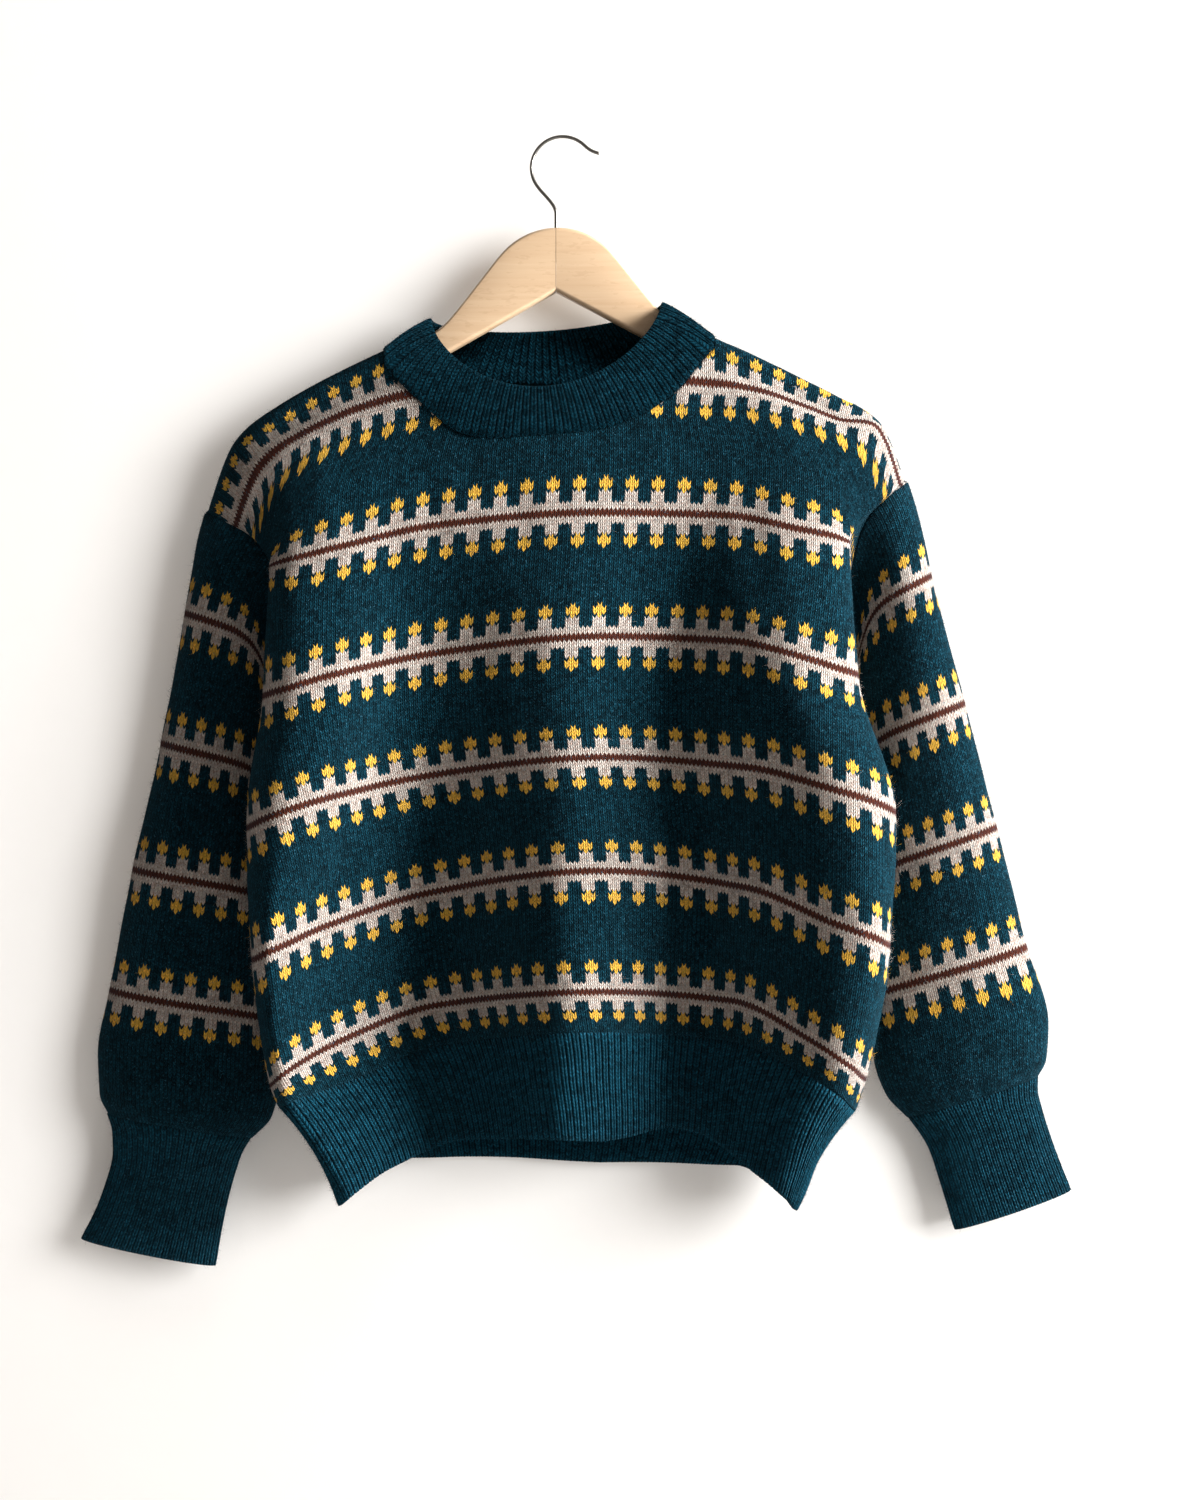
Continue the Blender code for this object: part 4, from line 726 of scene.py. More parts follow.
class Cloth:
    def __init__(self, name, grid, closed, outward, material, out_cells=None):
        self.name, self.grid, self.closed = name, grid, closed
        self.material, self.outward = material, outward
        self.normal = normals(grid, closed) * outward
        nu, nv = grid.shape[:2]
        self.cells = [(i, j) for i in range(nu if closed else nu - 1)
                      for j in range(nv - 1)
                      if not (out_cells and out_cells(i, j))]

    def index(self, i, j):
        nu, nv = self.grid.shape[:2]
        return (i % nu) * nv + j

    def corners(self, i, j):
        return (self.index(i, j), self.index(i + 1, j),
                self.index(i + 1, j + 1), self.index(i, j + 1))

    def open_edges(self):
        """Directed edges that only one cell has."""
        edges = {}
        for cell in self.cells:
            q = self.corners(*cell)
            for a, b in zip(q, q[1:] + q[:1]):
                edges[(a, b)] = cell
        return [(a, b, c) for (a, b), c in edges.items() if (b, a) not in edges]

    def border(self):
        """{vertex: direction into the cloth} along the open edges."""
        g = self.grid.reshape(-1, 3)
        into = {}
        for a, b, cell in self.open_edges():
            q = self.corners(*cell)
            centre = g[list(q)].mean(axis=0)
            along = unit(g[b] - g[a])
            d = centre - (g[a] + g[b]) / 2
            d = unit(d - along * float(d @ along))
            for v in (a, b):
                into[v] = into.get(v, 0) + d
        return {v: unit(d) for v, d in into.items()}


def join_seams(cloths):
    """Share the normal where pieces meet, and draw each back by half a gap."""
    pos, ref = [], []
    for ci, c in enumerate(cloths):
        flat = c.grid.reshape(-1, 3)
        for v, d in c.border().items():
            pos.append(flat[v])
            ref.append((ci, v, d))
    pos = np.array(pos)
    moves, shared = [], []
    for a in range(len(pos)):
        ci, va, d = ref[a]
        near = np.nonzero(np.linalg.norm(pos - pos[a], axis=1) < 0.02)[0]
        mates = {ref[b][0]: ref[b][1] for b in near if ref[b][0] != ci}
        if not mates:
            continue
        total = cloths[ci].normal.reshape(-1, 3)[va].copy()
        for cb, vb in mates.items():
            total = total + cloths[cb].normal.reshape(-1, 3)[vb]
        if np.linalg.norm(total) > 0.15:
            shared.append((ci, va, unit(total)))
        moves.append((ci, va, d * GAP / 2))
    for ci, v, n in shared:
        cloths[ci].normal.reshape(-1, 3)[v] = n
    for ci, v, m in moves:
        cloths[ci].grid.reshape(-1, 3)[v] += m


def wall_mesh(c):
    g = c.grid.reshape(-1, 3)
    n = c.normal.reshape(-1, 3)
    used = sorted({v for cell in c.cells for v in c.corners(*cell)})
    new = {v: i for i, v in enumerate(used)}
    verts = np.concatenate([g[used] + n[used] * WALL / 2,
                            g[used] - n[used] * WALL / 2]) * MM
    off = len(used)
    faces = []
    for cell in c.cells:
        q = c.corners(*cell)
        # one diagonal, the shorter, for both faces of the wall
        if math.dist(g[q[0]], g[q[2]]) <= math.dist(g[q[1]], g[q[3]]):
            split = ((0, 1, 2), (0, 2, 3))
        else:
            split = ((0, 1, 3), (1, 2, 3))
        for t in split:
            f = [new[q[i]] for i in t]
            faces.append(f)
            faces.append([off + i for i in f[::-1]])
    for a, b, _ in c.open_edges():
        a, b = new[a], new[b]
        if math.dist(verts[a], verts[off + b]) < math.dist(verts[b], verts[off + a]):
            faces += [[b, a, off + b], [a, off + a, off + b]]
        else:
            faces += [[b, a, off + a], [b, off + a, off + b]]
    if c.outward < 0:
        faces = [f[::-1] for f in faces]
    return verts, faces


# =================================================================== hanger
def hump(x):
    """Upper edge of the wood, x from the joint line, 0 at the top."""
    x = np.asarray(x, float)
    r = 52.0
    bend = r * math.sin(math.radians(52))
    arc_z = np.sqrt(np.maximum(r * r - np.minimum(x, bend) ** 2, 0)) - r
    z_bend = math.sqrt(r * r - bend * bend) - r
    steep = z_bend - (x - bend) * math.tan(math.radians(52))
    slope = -71.5 - 0.49 * (x - 83.0)
    # the steep side runs into the shoulder with a soft inner curve
    z_line = 0.5 * (steep + slope + np.sqrt((steep - slope) ** 2 + 5.0 ** 2))
    return np.where(x < bend, arc_z, np.minimum(z_line, z_bend))


def underside(x):
    return -45.5 - 0.548 * np.asarray(x, float)


def tube(points, radius, sides=12):
    """Closed round bar along the points, in the XZ plane."""
    verts, faces = [], []
    n = len(points)
    for i, p in enumerate(points):
        a = points[max(i - 1, 0)]
        b = points[min(i + 1, n - 1)]
        t = unit(np.array(b) - np.array(a))
        side = np.array([-t[2], 0.0, t[0]])
        up = np.array([0.0, 1.0, 0.0])
        for j in range(sides):
            th = 2 * math.pi * j / sides
            verts.append(np.array(p) + radius * (math.cos(th) * side + math.sin(th) * up))
    for i in range(n - 1):
        for j in range(sides):
            a, b = i * sides + j, i * sides + (j + 1) % sides
            faces.append((a, a + sides, b + sides, b))
    faces.append(tuple(range(sides)))
    faces.append(tuple((n - 1) * sides + j for j in range(sides - 1, -1, -1)))
    return np.array(verts), faces


def hook_route():
    """Tip flare, round hook, swan neck and shank; crown just over the origin."""
    r = HOOK_R
    cx, cz = -0.9, WIRE / 2 - r
    pts = []
    a0, a1 = math.radians(44), math.radians(216)
    # tip: a small outward flare
    ex, ez = cx + r * math.cos(a0), cz + r * math.sin(a0)
    tx, tz = math.sin(a0), -math.cos(a0)
    for i in range(5, 0, -1):
        s = 2.2 * i
        pts.append((ex + tx * s + 0.020 * s * s, 0.0, ez + tz * s + 0.022 * s * s))
    for i in range(27):
        a = a0 + (a1 - a0) * i / 26
        pts.append((cx + r * math.cos(a), 0.0, cz + r * math.sin(a)))
    # swan neck from the end of the round to the vertical shank
    x0, z0 = pts[-1][0], pts[-1][2]
    d0 = (-math.sin(a1), math.cos(a1))
    x1, z1 = HANGER_X, -54.0
    for i in range(1, 13):
        t = i / 12
        h00, h10 = 2 * t ** 3 - 3 * t ** 2 + 1, t ** 3 - 2 * t ** 2 + t
        h01, h11 = -2 * t ** 3 + 3 * t ** 2, t ** 3 - t ** 2
        length = 24.0
        pts.append((h00 * x0 + h10 * length * d0[0] + h01 * x1, 0.0,
                    h00 * z0 + h10 * length * d0[1] + h01 * z1 - h11 * 20.0))
    pts.append((HANGER_X, 0.0, -60.0))
    pts.append((HANGER_X, 0.0, HANGER_TOP - SHANK_IN))
    return pts


# ================================================================ fine shells
STITCHES = 6                 # in a repeat
SLEEVE_HALF = 48             # stitches on the front or the back of a sleeve
HEM_PITCH = 4.7              # one rib and one groove
NECK_PITCH = 5.2
CUFF_PITCH = 3.8
RIB_DEPTH = 0.62             # half the relief of the ribs
rng = np.random.default_rng(7)


def wave_noise(x, y, seed, sizes):
    """Smooth uneven relief from a few crossing waves, about -1 to 1."""
    r = np.random.default_rng(seed)
    out = np.zeros(np.broadcast(x, y).shape)
    for size in sizes:
        for _ in range(3):
            a = r.uniform(0, 2 * math.pi)
            f = 2 * math.pi / (size * r.uniform(0.75, 1.3))
            out = out + np.sin(f * (x * math.cos(a) + y * math.sin(a)) + r.uniform(0, 6.3))
    return out / (1.8 * math.sqrt(3 * len(sizes)))


def shell(name, grid, uv, closed, outward, keep=None, lift=0.0, wall=WALL,
          thin=None, shift=None, normal=None):
    """Closed wall on a grid [column][row] in mm, with the stitch and row
    numbers of its points as its map. Returns the object and its outer face."""
    n = normals(grid, closed) * outward if normal is None else normal
    g = grid + n * np.asarray(lift)[..., None] if np.ndim(lift) else grid + n * lift
    if shift is not None:
        g = g + shift
    nu, nv = g.shape[:2]
    half = np.full((nu, nv), wall / 2)
    if thin is not None:
        half = half * thin
    outer = g + n * half[..., None]
    inner = g - n * half[..., None]
    ci = nu if closed else nu - 1
    I, J = np.meshgrid(np.arange(ci), np.arange(nv - 1), indexing="ij")
    I, J = I.ravel(), J.ravel()
    if keep is not None:
        k = keep[I, J]
        I, J = I[k], J[k]
    I2 = (I + 1) % nu
    quad = np.stack([I * nv + J, I2 * nv + J, I2 * nv + J + 1, I * nv + J + 1], 1)
    quv = np.stack([uv[I, J], uv[I + 1, J], uv[I + 1, J + 1], uv[I, J + 1]], 1)
    # open edges
    a = quad.ravel()
    b = np.roll(quad, -1, axis=1).ravel()
    ua = quv.reshape(-1, 2)
    ub = np.roll(quv, -1, axis=1).reshape(-1, 2)
    big = nu * nv + 1
    code, back = a * big + b, b * big + a
    rim = ~np.isin(code, back)
    off = nu * nv
    faces = [quad, quad[:, ::-1] + off,
             np.stack([b[rim], a[rim], a[rim] + off, b[rim] + off], 1)]
    uvs = [quv, quv[:, ::-1],
           np.stack([ub[rim], ua[rim], ua[rim], ub[rim]], 1)]
    faces = np.concatenate(faces)
    uvs = np.concatenate(uvs)
    # the quads wind so that their own normal is `normals` without `outward`
    if outward < 0:
        faces, uvs = faces[:, ::-1], uvs[:, ::-1]
    verts = np.concatenate([outer.reshape(-1, 3), inner.reshape(-1, 3)]) * MM
    used, inverse = np.unique(faces, return_inverse=True)
    faces = inverse.reshape(faces.shape)
    me = bpy.data.meshes.new(name)
    me.from_pydata(verts[used].tolist(), [], faces.tolist())
    layer = me.uv_layers.new(name="knit")
    layer.data.foreach_set("uv", np.ascontiguousarray(uvs, dtype=np.float32).ravel())
    me.shade_smooth()
    me.update()
    ob = bpy.data.objects.new(name, me)
    bpy.context.scene.collection.objects.link(ob)
    return ob, dict(outer=outer, normal=n, uv=uv, cells=(I, J), nu=nu)


def dipped(t, first, last, edge=0.0):
    """Relief of a piece across its rows t in mm from one edge: it dips
    towards a seam at the start, and at the end."""
    out = -first * np.exp(-(t / 1.9) ** 2)
    return out - last * np.exp(-((t[..., -1:] - t) / 1.9) ** 2) + edge


# ------------------------------------------------------------------ panels
def panel(face, cols, n_low, n_high, n_side):
    """Grid and map of a whole panel, rows from the hem rib to the shoulder."""
    cols = np.asarray(cols, float)
    vs = np.concatenate([np.arange(0.0, 180.0, 1.0), np.arange(180.0, V_TOP + 0.01, 0.5)])
    table = np.empty((len(vs), len(cols), 3))
    for a, v in enumerate(vs):
        ks, pts = body_row(face, float(v))
        for c in range(3):
            table[a, :, c] = np.interp(cols, ks, pts[:, c])
    low = np.linspace(0.0, V_UNDERARM, n_low)
    high = np.linspace(0.0, 1.0, n_high)[1:]
    side_v = V_TOP - NECK_SIDE_ROWS[-1]
    grid, uv = [], []
    for i, k in enumerate(cols):
        inside = NECK_K[0] < k < NECK_K[1]
        top = min(neck_row(face, k), side_v)
        rows = np.concatenate([low, V_UNDERARM + (top - V_UNDERARM) * high,
                               np.full(n_side, top) if inside
                               else np.linspace(side_v, V_TOP, n_side + 1)[1:]])
        grid.append(np.stack([np.interp(rows, vs, table[:, i, c]) for c in range(3)], -1))
        uv.append(np.stack([np.full(len(rows), k * STITCHES), rows], -1))
    return np.array(grid), np.array(uv)


def body_columns(step):
    n = int(round(HALF_REPEATS * STITCHES / step))
    ks = [i * step / STITCHES for i in range(-n, n + 1)]
    ks[0], ks[-1] = -HALF_REPEATS, HALF_REPEATS
    return sorted(set([k for k in ks if min(abs(k - NECK_K[0]), abs(k - NECK_K[1])) > 0.02]
                      + list(NECK_K)))


N_LOW, N_HIGH, N_SIDE = 99, 42, 5
front_cols, back_cols = body_columns(1.0), body_columns(1.5)
front_grid, front_uv = panel("front", front_cols, N_LOW, N_HIGH, N_SIDE)
back_grid, back_uv = panel("back", back_cols, N_LOW, N_HIGH, N_SIDE)
for i in (0, -1):
    back_grid[i, :N_LOW] = front_grid[i, :N_LOW]
for i, k in enumerate(back_cols):
    if not NECK_K[0] < k < NECK_K[1]:
        back_grid[i, -1] = [np.interp(k, front_cols, front_grid[:, -1, c]) for c in range(3)]


def neck_keep(cols, nv):
    a, b = cols.index(NECK_K[0]), cols.index(NECK_K[1])
    keep = np.ones((len(cols), nv), bool)
    keep[a:b, nv - 1 - N_SIDE:] = False
    return keep, a, b


def panel_normals(grid, cols, outward):
    n = normals(grid, False) * outward
    a, b = cols.index(NECK_K[0]), cols.index(NECK_K[1])
    n[a, -N_SIDE:] = n[a - 1, -N_SIDE:]
    n[b, -N_SIDE:] = n[b + 1, -N_SIDE:]
    n[a + 1:b, -N_SIDE:] = n[a + 1:b, -N_SIDE - 1:-N_SIDE]
    return n


fn = panel_normals(front_grid, front_cols, 1.0)
bn = panel_normals(back_grid, back_cols, -1.0)
# side seams and shoulder seams: both pieces stand on the same normal
for i in (0, -1):
    s = unit(fn[i, :N_LOW] + bn[i, :N_LOW])
    fn[i, :N_LOW], bn[i, :N_LOW] = s, s
ftop = fn[:, -1].copy()
for i, k in enumerate(back_cols):
    if not NECK_K[0] < k < NECK_K[1]:
        m = np.array([np.interp(k, front_cols, ftop[:, c]) for c in range(3)])
        bn[i, -1] = unit(m + bn[i, -1])
for i, k in enumerate(front_cols):
    if not NECK_K[0] < k < NECK_K[1]:
        fn[i, -1] = np.array([np.interp(k, back_cols, bn[:, -1, c]) for c in range(3)])

# uneven hang of the cloth, fading towards its edges
fx, fz = front_grid[..., 0], front_grid[..., 2]
front_lift = 0.55 * wave_noise(fx, fz * 0.55, 11, (34.0, 60.0)) \
    + 0.20 * wave_noise(fx, fz, 12, (11.0, 17.0))
front_lift *= smooth(0.0, 14.0, front_uv[..., 1]) * smooth(V_TOP, V_TOP - 18, front_uv[..., 1])
front_lift *= smooth(0.0, 8.0, front_uv[..., 0] + HALF_REPEATS * 6) \
    * smooth(0.0, 8.0, HALF_REPEATS * 6 - front_uv[..., 0])
keep_f, _, _ = neck_keep(front_cols, front_grid.shape[1])
keep_b, _, _ = neck_keep(back_cols, back_grid.shape[1])
bx, bz = back_grid[..., 0], back_grid[..., 2]
back_lift = 0.5 * wave_noise(bx, bz * 0.5, 13, (36.0, 64.0)) \
    * smooth(0.0, 14.0, back_uv[..., 1]) * smooth(V_TOP, V_TOP - 18, back_uv[..., 1]) \
    * smooth(0.0, 8.0, back_uv[..., 0] + HALF_REPEATS * 6) \
    * smooth(0.0, 8.0, HALF_REPEATS * 6 - back_uv[..., 0])
front_piece, front_face = shell("knit_front", front_grid, front_uv, False, 1.0, keep_f,
                                front_lift, normal=fn)
back_piece, back_face = shell("knit_back", back_grid, back_uv, False, -1.0, keep_b,
                              back_lift, normal=bn)


# ----------------------------------------------------------------- sleeves
def fine_sleeve(side):
    last = list(SLEEVES[side].values())[-1][0]
    # rows crowd towards the gathers at the cuff
    rows = np.concatenate([np.linspace(0.0, last - 26.0, 66),
                           np.linspace(last - 26.0, last, 27)[1:]])
    half = 52
    wales = [("front", s) for s in np.linspace(0, 1, half + 1)] \
        + [("back", s) for s in np.linspace(1, 0, half + 1)[1:-1]]
    grid = np.empty((len(wales), len(rows), 3))
    for j, r in enumerate(rows):
        for face in ("front", "back"):
            share, pts, _ = ring(side, face, float(r))
            idx = [i for i, w in enumerate(wales) if w[0] == face]
            s = np.array([wales[i][1] for i in idx])
            for c in range(3):
                grid[idx, j, c] = np.interp(s, share, pts[:, c])
    u = np.arange(len(wales) + 1) * (2 * SLEEVE_HALF / len(wales))
    uv = np.stack(np.broadcast_arrays(u[:, None], 156.0 - rows[None, :]), -1).copy()
    # gathers above the cuff and the loose hang of the sleeve
    around = u[:-1, None]
    down = rows[None, :]
    near = smooth(last - 22.0, last - 3.0, down)
    seed = 21 if side == "right" else 31
    r = np.random.default_rng(seed)
    gather = np.zeros_like(grid[..., 0])
    for _ in range(17):
        c = r.uniform(0, 2 * SLEEVE_HALF)
        w = r.uniform(1.6, 3.4)
        reach = r.uniform(7.0, 22.0)
        d = (around - c + SLEEVE_HALF) % (2 * SLEEVE_HALF) - SLEEVE_HALF
        gather += -r.uniform(0.35, 0.95) * np.exp(-(d / w) ** 2) \
            * smooth(last - reach, last - 1.0, down)
    lift = gather + 1.1 * near * (1 - smooth(last - 5.0, last, down)) \
        + 0.5 * wave_noise(grid[..., 0], grid[..., 2] * 0.6, seed + 1, (28.0, 50.0)) \
        * smooth(0.0, 14.0, down) * smooth(last, last - 16.0, down)
    outward = -1.0 if side == "right" else 1.0
    return grid, uv, lift, outward, rows


sleeve_pieces, sleeve_faces = {}, {}
for side in ("right", "left"):
    grid, uv, lift, outward, rows = fine_sleeve(side)
    piece, face_ = shell("knit_sleeve_" + side, grid, uv, True, outward, None, lift)
    sleeve_pieces[side], sleeve_faces[side] = piece, face_


# -------------------------------------------------------------------- ribs
def rib_wave(phase):
    """Round ribs with narrow grooves: 1 on a rib, -1 in a groove, and a
    shallow valley between the two legs of its stitches."""
    c = np.abs(np.cos(math.pi * phase))
    legs = np.abs(np.sin(2 * math.pi * phase))
    return 0.5 * (2 * legs ** 0.6 - 1) + 0.5 * (2 * c ** 0.6 - 1)


def resample(line, n, closed=False):
    """Shares of n even steps along a line of points."""
    if closed:
        line = np.concatenate([line, line[:1]])
    a = arc(line)
    return np.linspace(0, a[-1], n + 1), a


def fine_hem(face, per_rib, n_rows):
    base_ks, base = body_row(face, 0.0)
    ts = np.linspace(0.0, 1.0, n_rows)
    length = arc(hem_row(face, 0.5)[1])[-1]
    ribs = int(round(length / HEM_PITCH))
    n = ribs * per_rib
    share = np.linspace(0.0, 1.0, n + 1)
    grid = np.empty((n + 1, n_rows, 3))
    for j, t in enumerate(ts):
        ks, pts = (base_ks, base) if t == 0 else hem_row(face, float(t))
        # even ribs: the same share of the knitting at every height
        k = -HALF_REPEATS + 2 * HALF_REPEATS * share
        even = np.interp(share, arc(pts) / arc(pts)[-1], ks)
        k = k * 0.35 + even * 0.65
        for c in range(3):
            grid[:, j, c] = np.interp(k, ks, pts[:, c])
    phase = share * ribs
    uv = np.stack(np.broadcast_arrays(phase[:, None], -ts[None, :] * 33.0), -1).copy()
    return grid, uv, phase, ts


def rib_lift(phase, ts, depth, wobble_seed):
    """Relief of the ribs along their length, flatter at the seam."""
    r = np.random.default_rng(wobble_seed)
    index = np.floor(phase + 0.5).astype(int)
    strength = r.uniform(0.8, 1.15, index.max() + 2)[index]
    return (rib_wave(phase) * strength)[:, None] * depth * (0.35 + 0.65 * smooth(0.0, 0.12, ts))[None, :]


rib_pieces, rib_faces = {}, {}
for face, per_rib, n_rows, outward in (("front", 10, 17, -1.0), ("back", 8, 11, 1.0)):
    grid, uv, phase, ts = fine_hem(face, per_rib, n_rows)
    if face == "back":
        for i in (0, -1):
            for c in range(3):
                grid[i, :, c] = np.interp(ts, hem_ts, hem_side[i][:, c])
    else:
        hem_ts, hem_side = ts, {0: grid[0].copy(), -1: grid[-1].copy()}
    n = normals(grid, False) * outward
    lift = rib_lift(phase, ts, RIB_DEPTH, 41)
    thin = np.ones((grid.shape[0], n_rows)) * np.interp(ts, (0, 0.955, 0.985, 1.0), (1, 1, 0.92, 0.62))
    piece, f = shell("rib_hem_" + face, grid, uv, False, outward, None, lift, WALL * 0.85, thin, normal=n)
    rib_pieces["hem_" + face], rib_faces["hem_" + face] = piece, f


def fine_cuff(side, per_rib, n_rows):
    last = list(SLEEVES[side].values())[-1][0]
    ts = np.linspace(0.0, 1.0, n_rows)
    table = CUFF_RIGHT if side == "right" else CUFF_LEFT
    mids = []
    phis = {}
    for face in ("front", "back"):
        s, _, phi = ring(side, face, last)
        phis[face] = (s, phi)
    line = np.array([cuff_ring(side, 0.5, a) for a in np.linspace(0, 2 * math.pi, 241)[:-1]])
    length = arc(np.concatenate([line, line[:1]]))[-1]
    ribs = int(round(length / CUFF_PITCH))
    n = ribs * per_rib
    a_line = arc(np.concatenate([line, line[:1]]))
    phi = np.interp(np.linspace(0, a_line[-1], n + 1), a_line, np.linspace(0, 2 * math.pi, 241))[:-1]
    grid = np.empty((n, n_rows, 3))
    for j, t in enumerate(ts):
        p = read(CUFF_COLUMNS, table, float(t))
        c, s = np.cos(phi), np.sin(phi)
        inner = (1 - c) / 2
        skew = 1 - 0.08 * (1 - t) * inner
        grid[:, j, 0] = p["x_out"] + (p["x_in"] - p["x_out"]) * inner
        grid[:, j, 2] = p["z_out"] + (p["z_in"] - p["z_out"]) * inner
        grid[:, j, 1] = CUFF_Y + (6 * inner - 3) * (1 - t) - p["half_depth"] * s * skew
    phase = np.arange(n + 1) / per_rib
    uv = np.stack(np.broadcast_arrays(phase[:, None], -ts[None, :] * 34.0), -1).copy()
    return grid, uv, phase, ts


for side in ("right", "left"):
    grid, uv, phase, ts = fine_cuff(side, 9, 19)
    outward = -1.0 if side == "right" else 1.0
    lift = rib_lift(phase[:-1], ts, RIB_DEPTH, 51) \
        - (0.5 * np.exp(-(ts / 0.03) ** 2))[None, :]
    thin = np.ones((grid.shape[0], len(ts))) * np.interp(ts, (0, 0.955, 0.985, 1.0), (1, 1, 0.92, 0.62))
    piece, f = shell("rib_cuff_" + side, grid, uv, True, outward, None, lift, WALL * 0.85, thin)
    rib_pieces["cuff_" + side], rib_faces["cuff_" + side] = piece, f


def neck_line(n_side=10, n_across=90):
    """Closed neckline: points, and how far round (c, s, face) each one is."""
    k0, k1 = NECK_K
    mid, half = (k0 + k1) / 2, (k1 - k0) / 2
    side_v = V_TOP - NECK_SIDE_ROWS[-1]
    out = []
    for face, sgn in (("front", 1), ("back", -1)):
        vs = np.linspace(V_TOP, side_v, n_side)
        th = np.linspace(0, math.pi, n_across)[1:-1]
        across = mid - half * np.cos(th)
        path = [(k0, float(v)) for v in vs] + [(float(k), neck_row(face, float(k))) for k in across] \
            + [(k1, float(v)) for v in vs[::-1]]
        if face == "back":
            path = path[::-1][1:-1]
        for k, v in path:
            top = min(v, V_TOP)
            seam = body_point("front" if v > V_TOP - 0.01 else face, k, top)
            if k0 < k < k1:
                c = (k - mid) / half
                s = max(0.34, math.sqrt(max(0.0, 1 - c * c)))
            else:
                c = -1.0 if k <= k0 else 1.0
                s = float(np.interp(V_TOP - v, (0.0, 2.6, 5.2, 7.8), (0.0, 0.11, 0.19, 0.27)))
                if v <= side_v + 1e-6:
                    s = 0.305
            c = math.copysign(math.sqrt(max(0.0, 1 - s * s)), c)
            out.append((seam, c, s, sgn))
    return out


def fine_neckband(per_rib, n_rows):
    line = neck_line()
    seam = np.array([p[0] for p in line])
    c = np.array([p[1] for p in line])
    s = np.array([p[2] for p in line])
    sgn = np.array([p[3] for p in line], float)
    ang = np.unwrap(np.arctan2(s * sgn, c))
    ts = np.concatenate([np.linspace(0.0, 0.92, n_rows - 4), (0.955, 0.98, 0.993, 1.0)])

    def at(seam, ang):
        c, s = np.cos(ang), np.abs(np.sin(ang))
        front = np.sin(ang) > 0
        fwd = np.where(front, NECK_FRONT[0], NECK_BACK[0])
        dip = np.where(front, NECK_FRONT[1], NECK_BACK[1])
        y = np.where(front, -1.0, 1.0)
        side_z = NECK_SIDE_Z[0] + (NECK_SIDE_Z[1] - NECK_SIDE_Z[0]) * (c + 1) / 2
        free = np.stack([NECK_MID_X + NECK_HALF_X * c, y * fwd * s ** 0.9, side_z - dip * s ** 1.3], -1)
        out = unit(np.stack([c * 0.7, y * s, np.full_like(c, 0.55)], -1))
        return np.stack([seam + (free - seam) * t + out * NECKBAND_SWELL * 4 * t * (1 - t) for t in ts], 1)

    rough = at(seam, ang)
    middle = rough[:, n_rows // 2] * 0.5 + rough[:, 0] * 0.25 + rough[:, -1] * 0.25
    closed = np.concatenate([middle, middle[:1]])
    a = arc(closed)
    ribs = int(round(a[-1] / NECK_PITCH))
    n = ribs * per_rib
    want = np.linspace(0, a[-1], n + 1)[:-1]
    seam_c = np.concatenate([seam, seam[:1]])
    ang_c = np.concatenate([ang, [ang[0] + (2 * math.pi if ang[-1] > ang[0] else -2 * math.pi)]])
    seam_f = np.stack([np.interp(want, a, seam_c[:, i]) for i in range(3)], -1)
    ang_f = np.interp(want, a, ang_c)
    grid = at(seam_f, ang_f)
    phase = np.arange(n + 1) / per_rib
    uv = np.stack(np.broadcast_arrays(phase[:, None], ts[None, :] * 15.0), -1).copy()
    return grid, uv, phase, ts


grid, uv, phase, ts = fine_neckband(10, 17)
lift = rib_lift(phase[:-1], ts, RIB_DEPTH * 1.05, 61) + (0.8 * np.exp(-(ts / 0.1) ** 2))[None, :] \
    + 0.55 * np.cos(4 * math.pi * phase[:-1])[:, None] * np.exp(-((ts - 0.06) / 0.05) ** 2)[None, :]
thin = np.ones((grid.shape[0], len(ts))) * np.interp(ts, (0, 0.04, 0.92, 0.955, 0.98, 0.993, 1.0), (0.75, 1, 1, 0.97, 0.84, 0.66, 0.34))
piece, f = shell("rib_neckband", grid, uv, True, 1.0, None, lift, 3.3, thin)
rib_pieces["neckband"], rib_faces["neckband"] = piece, f


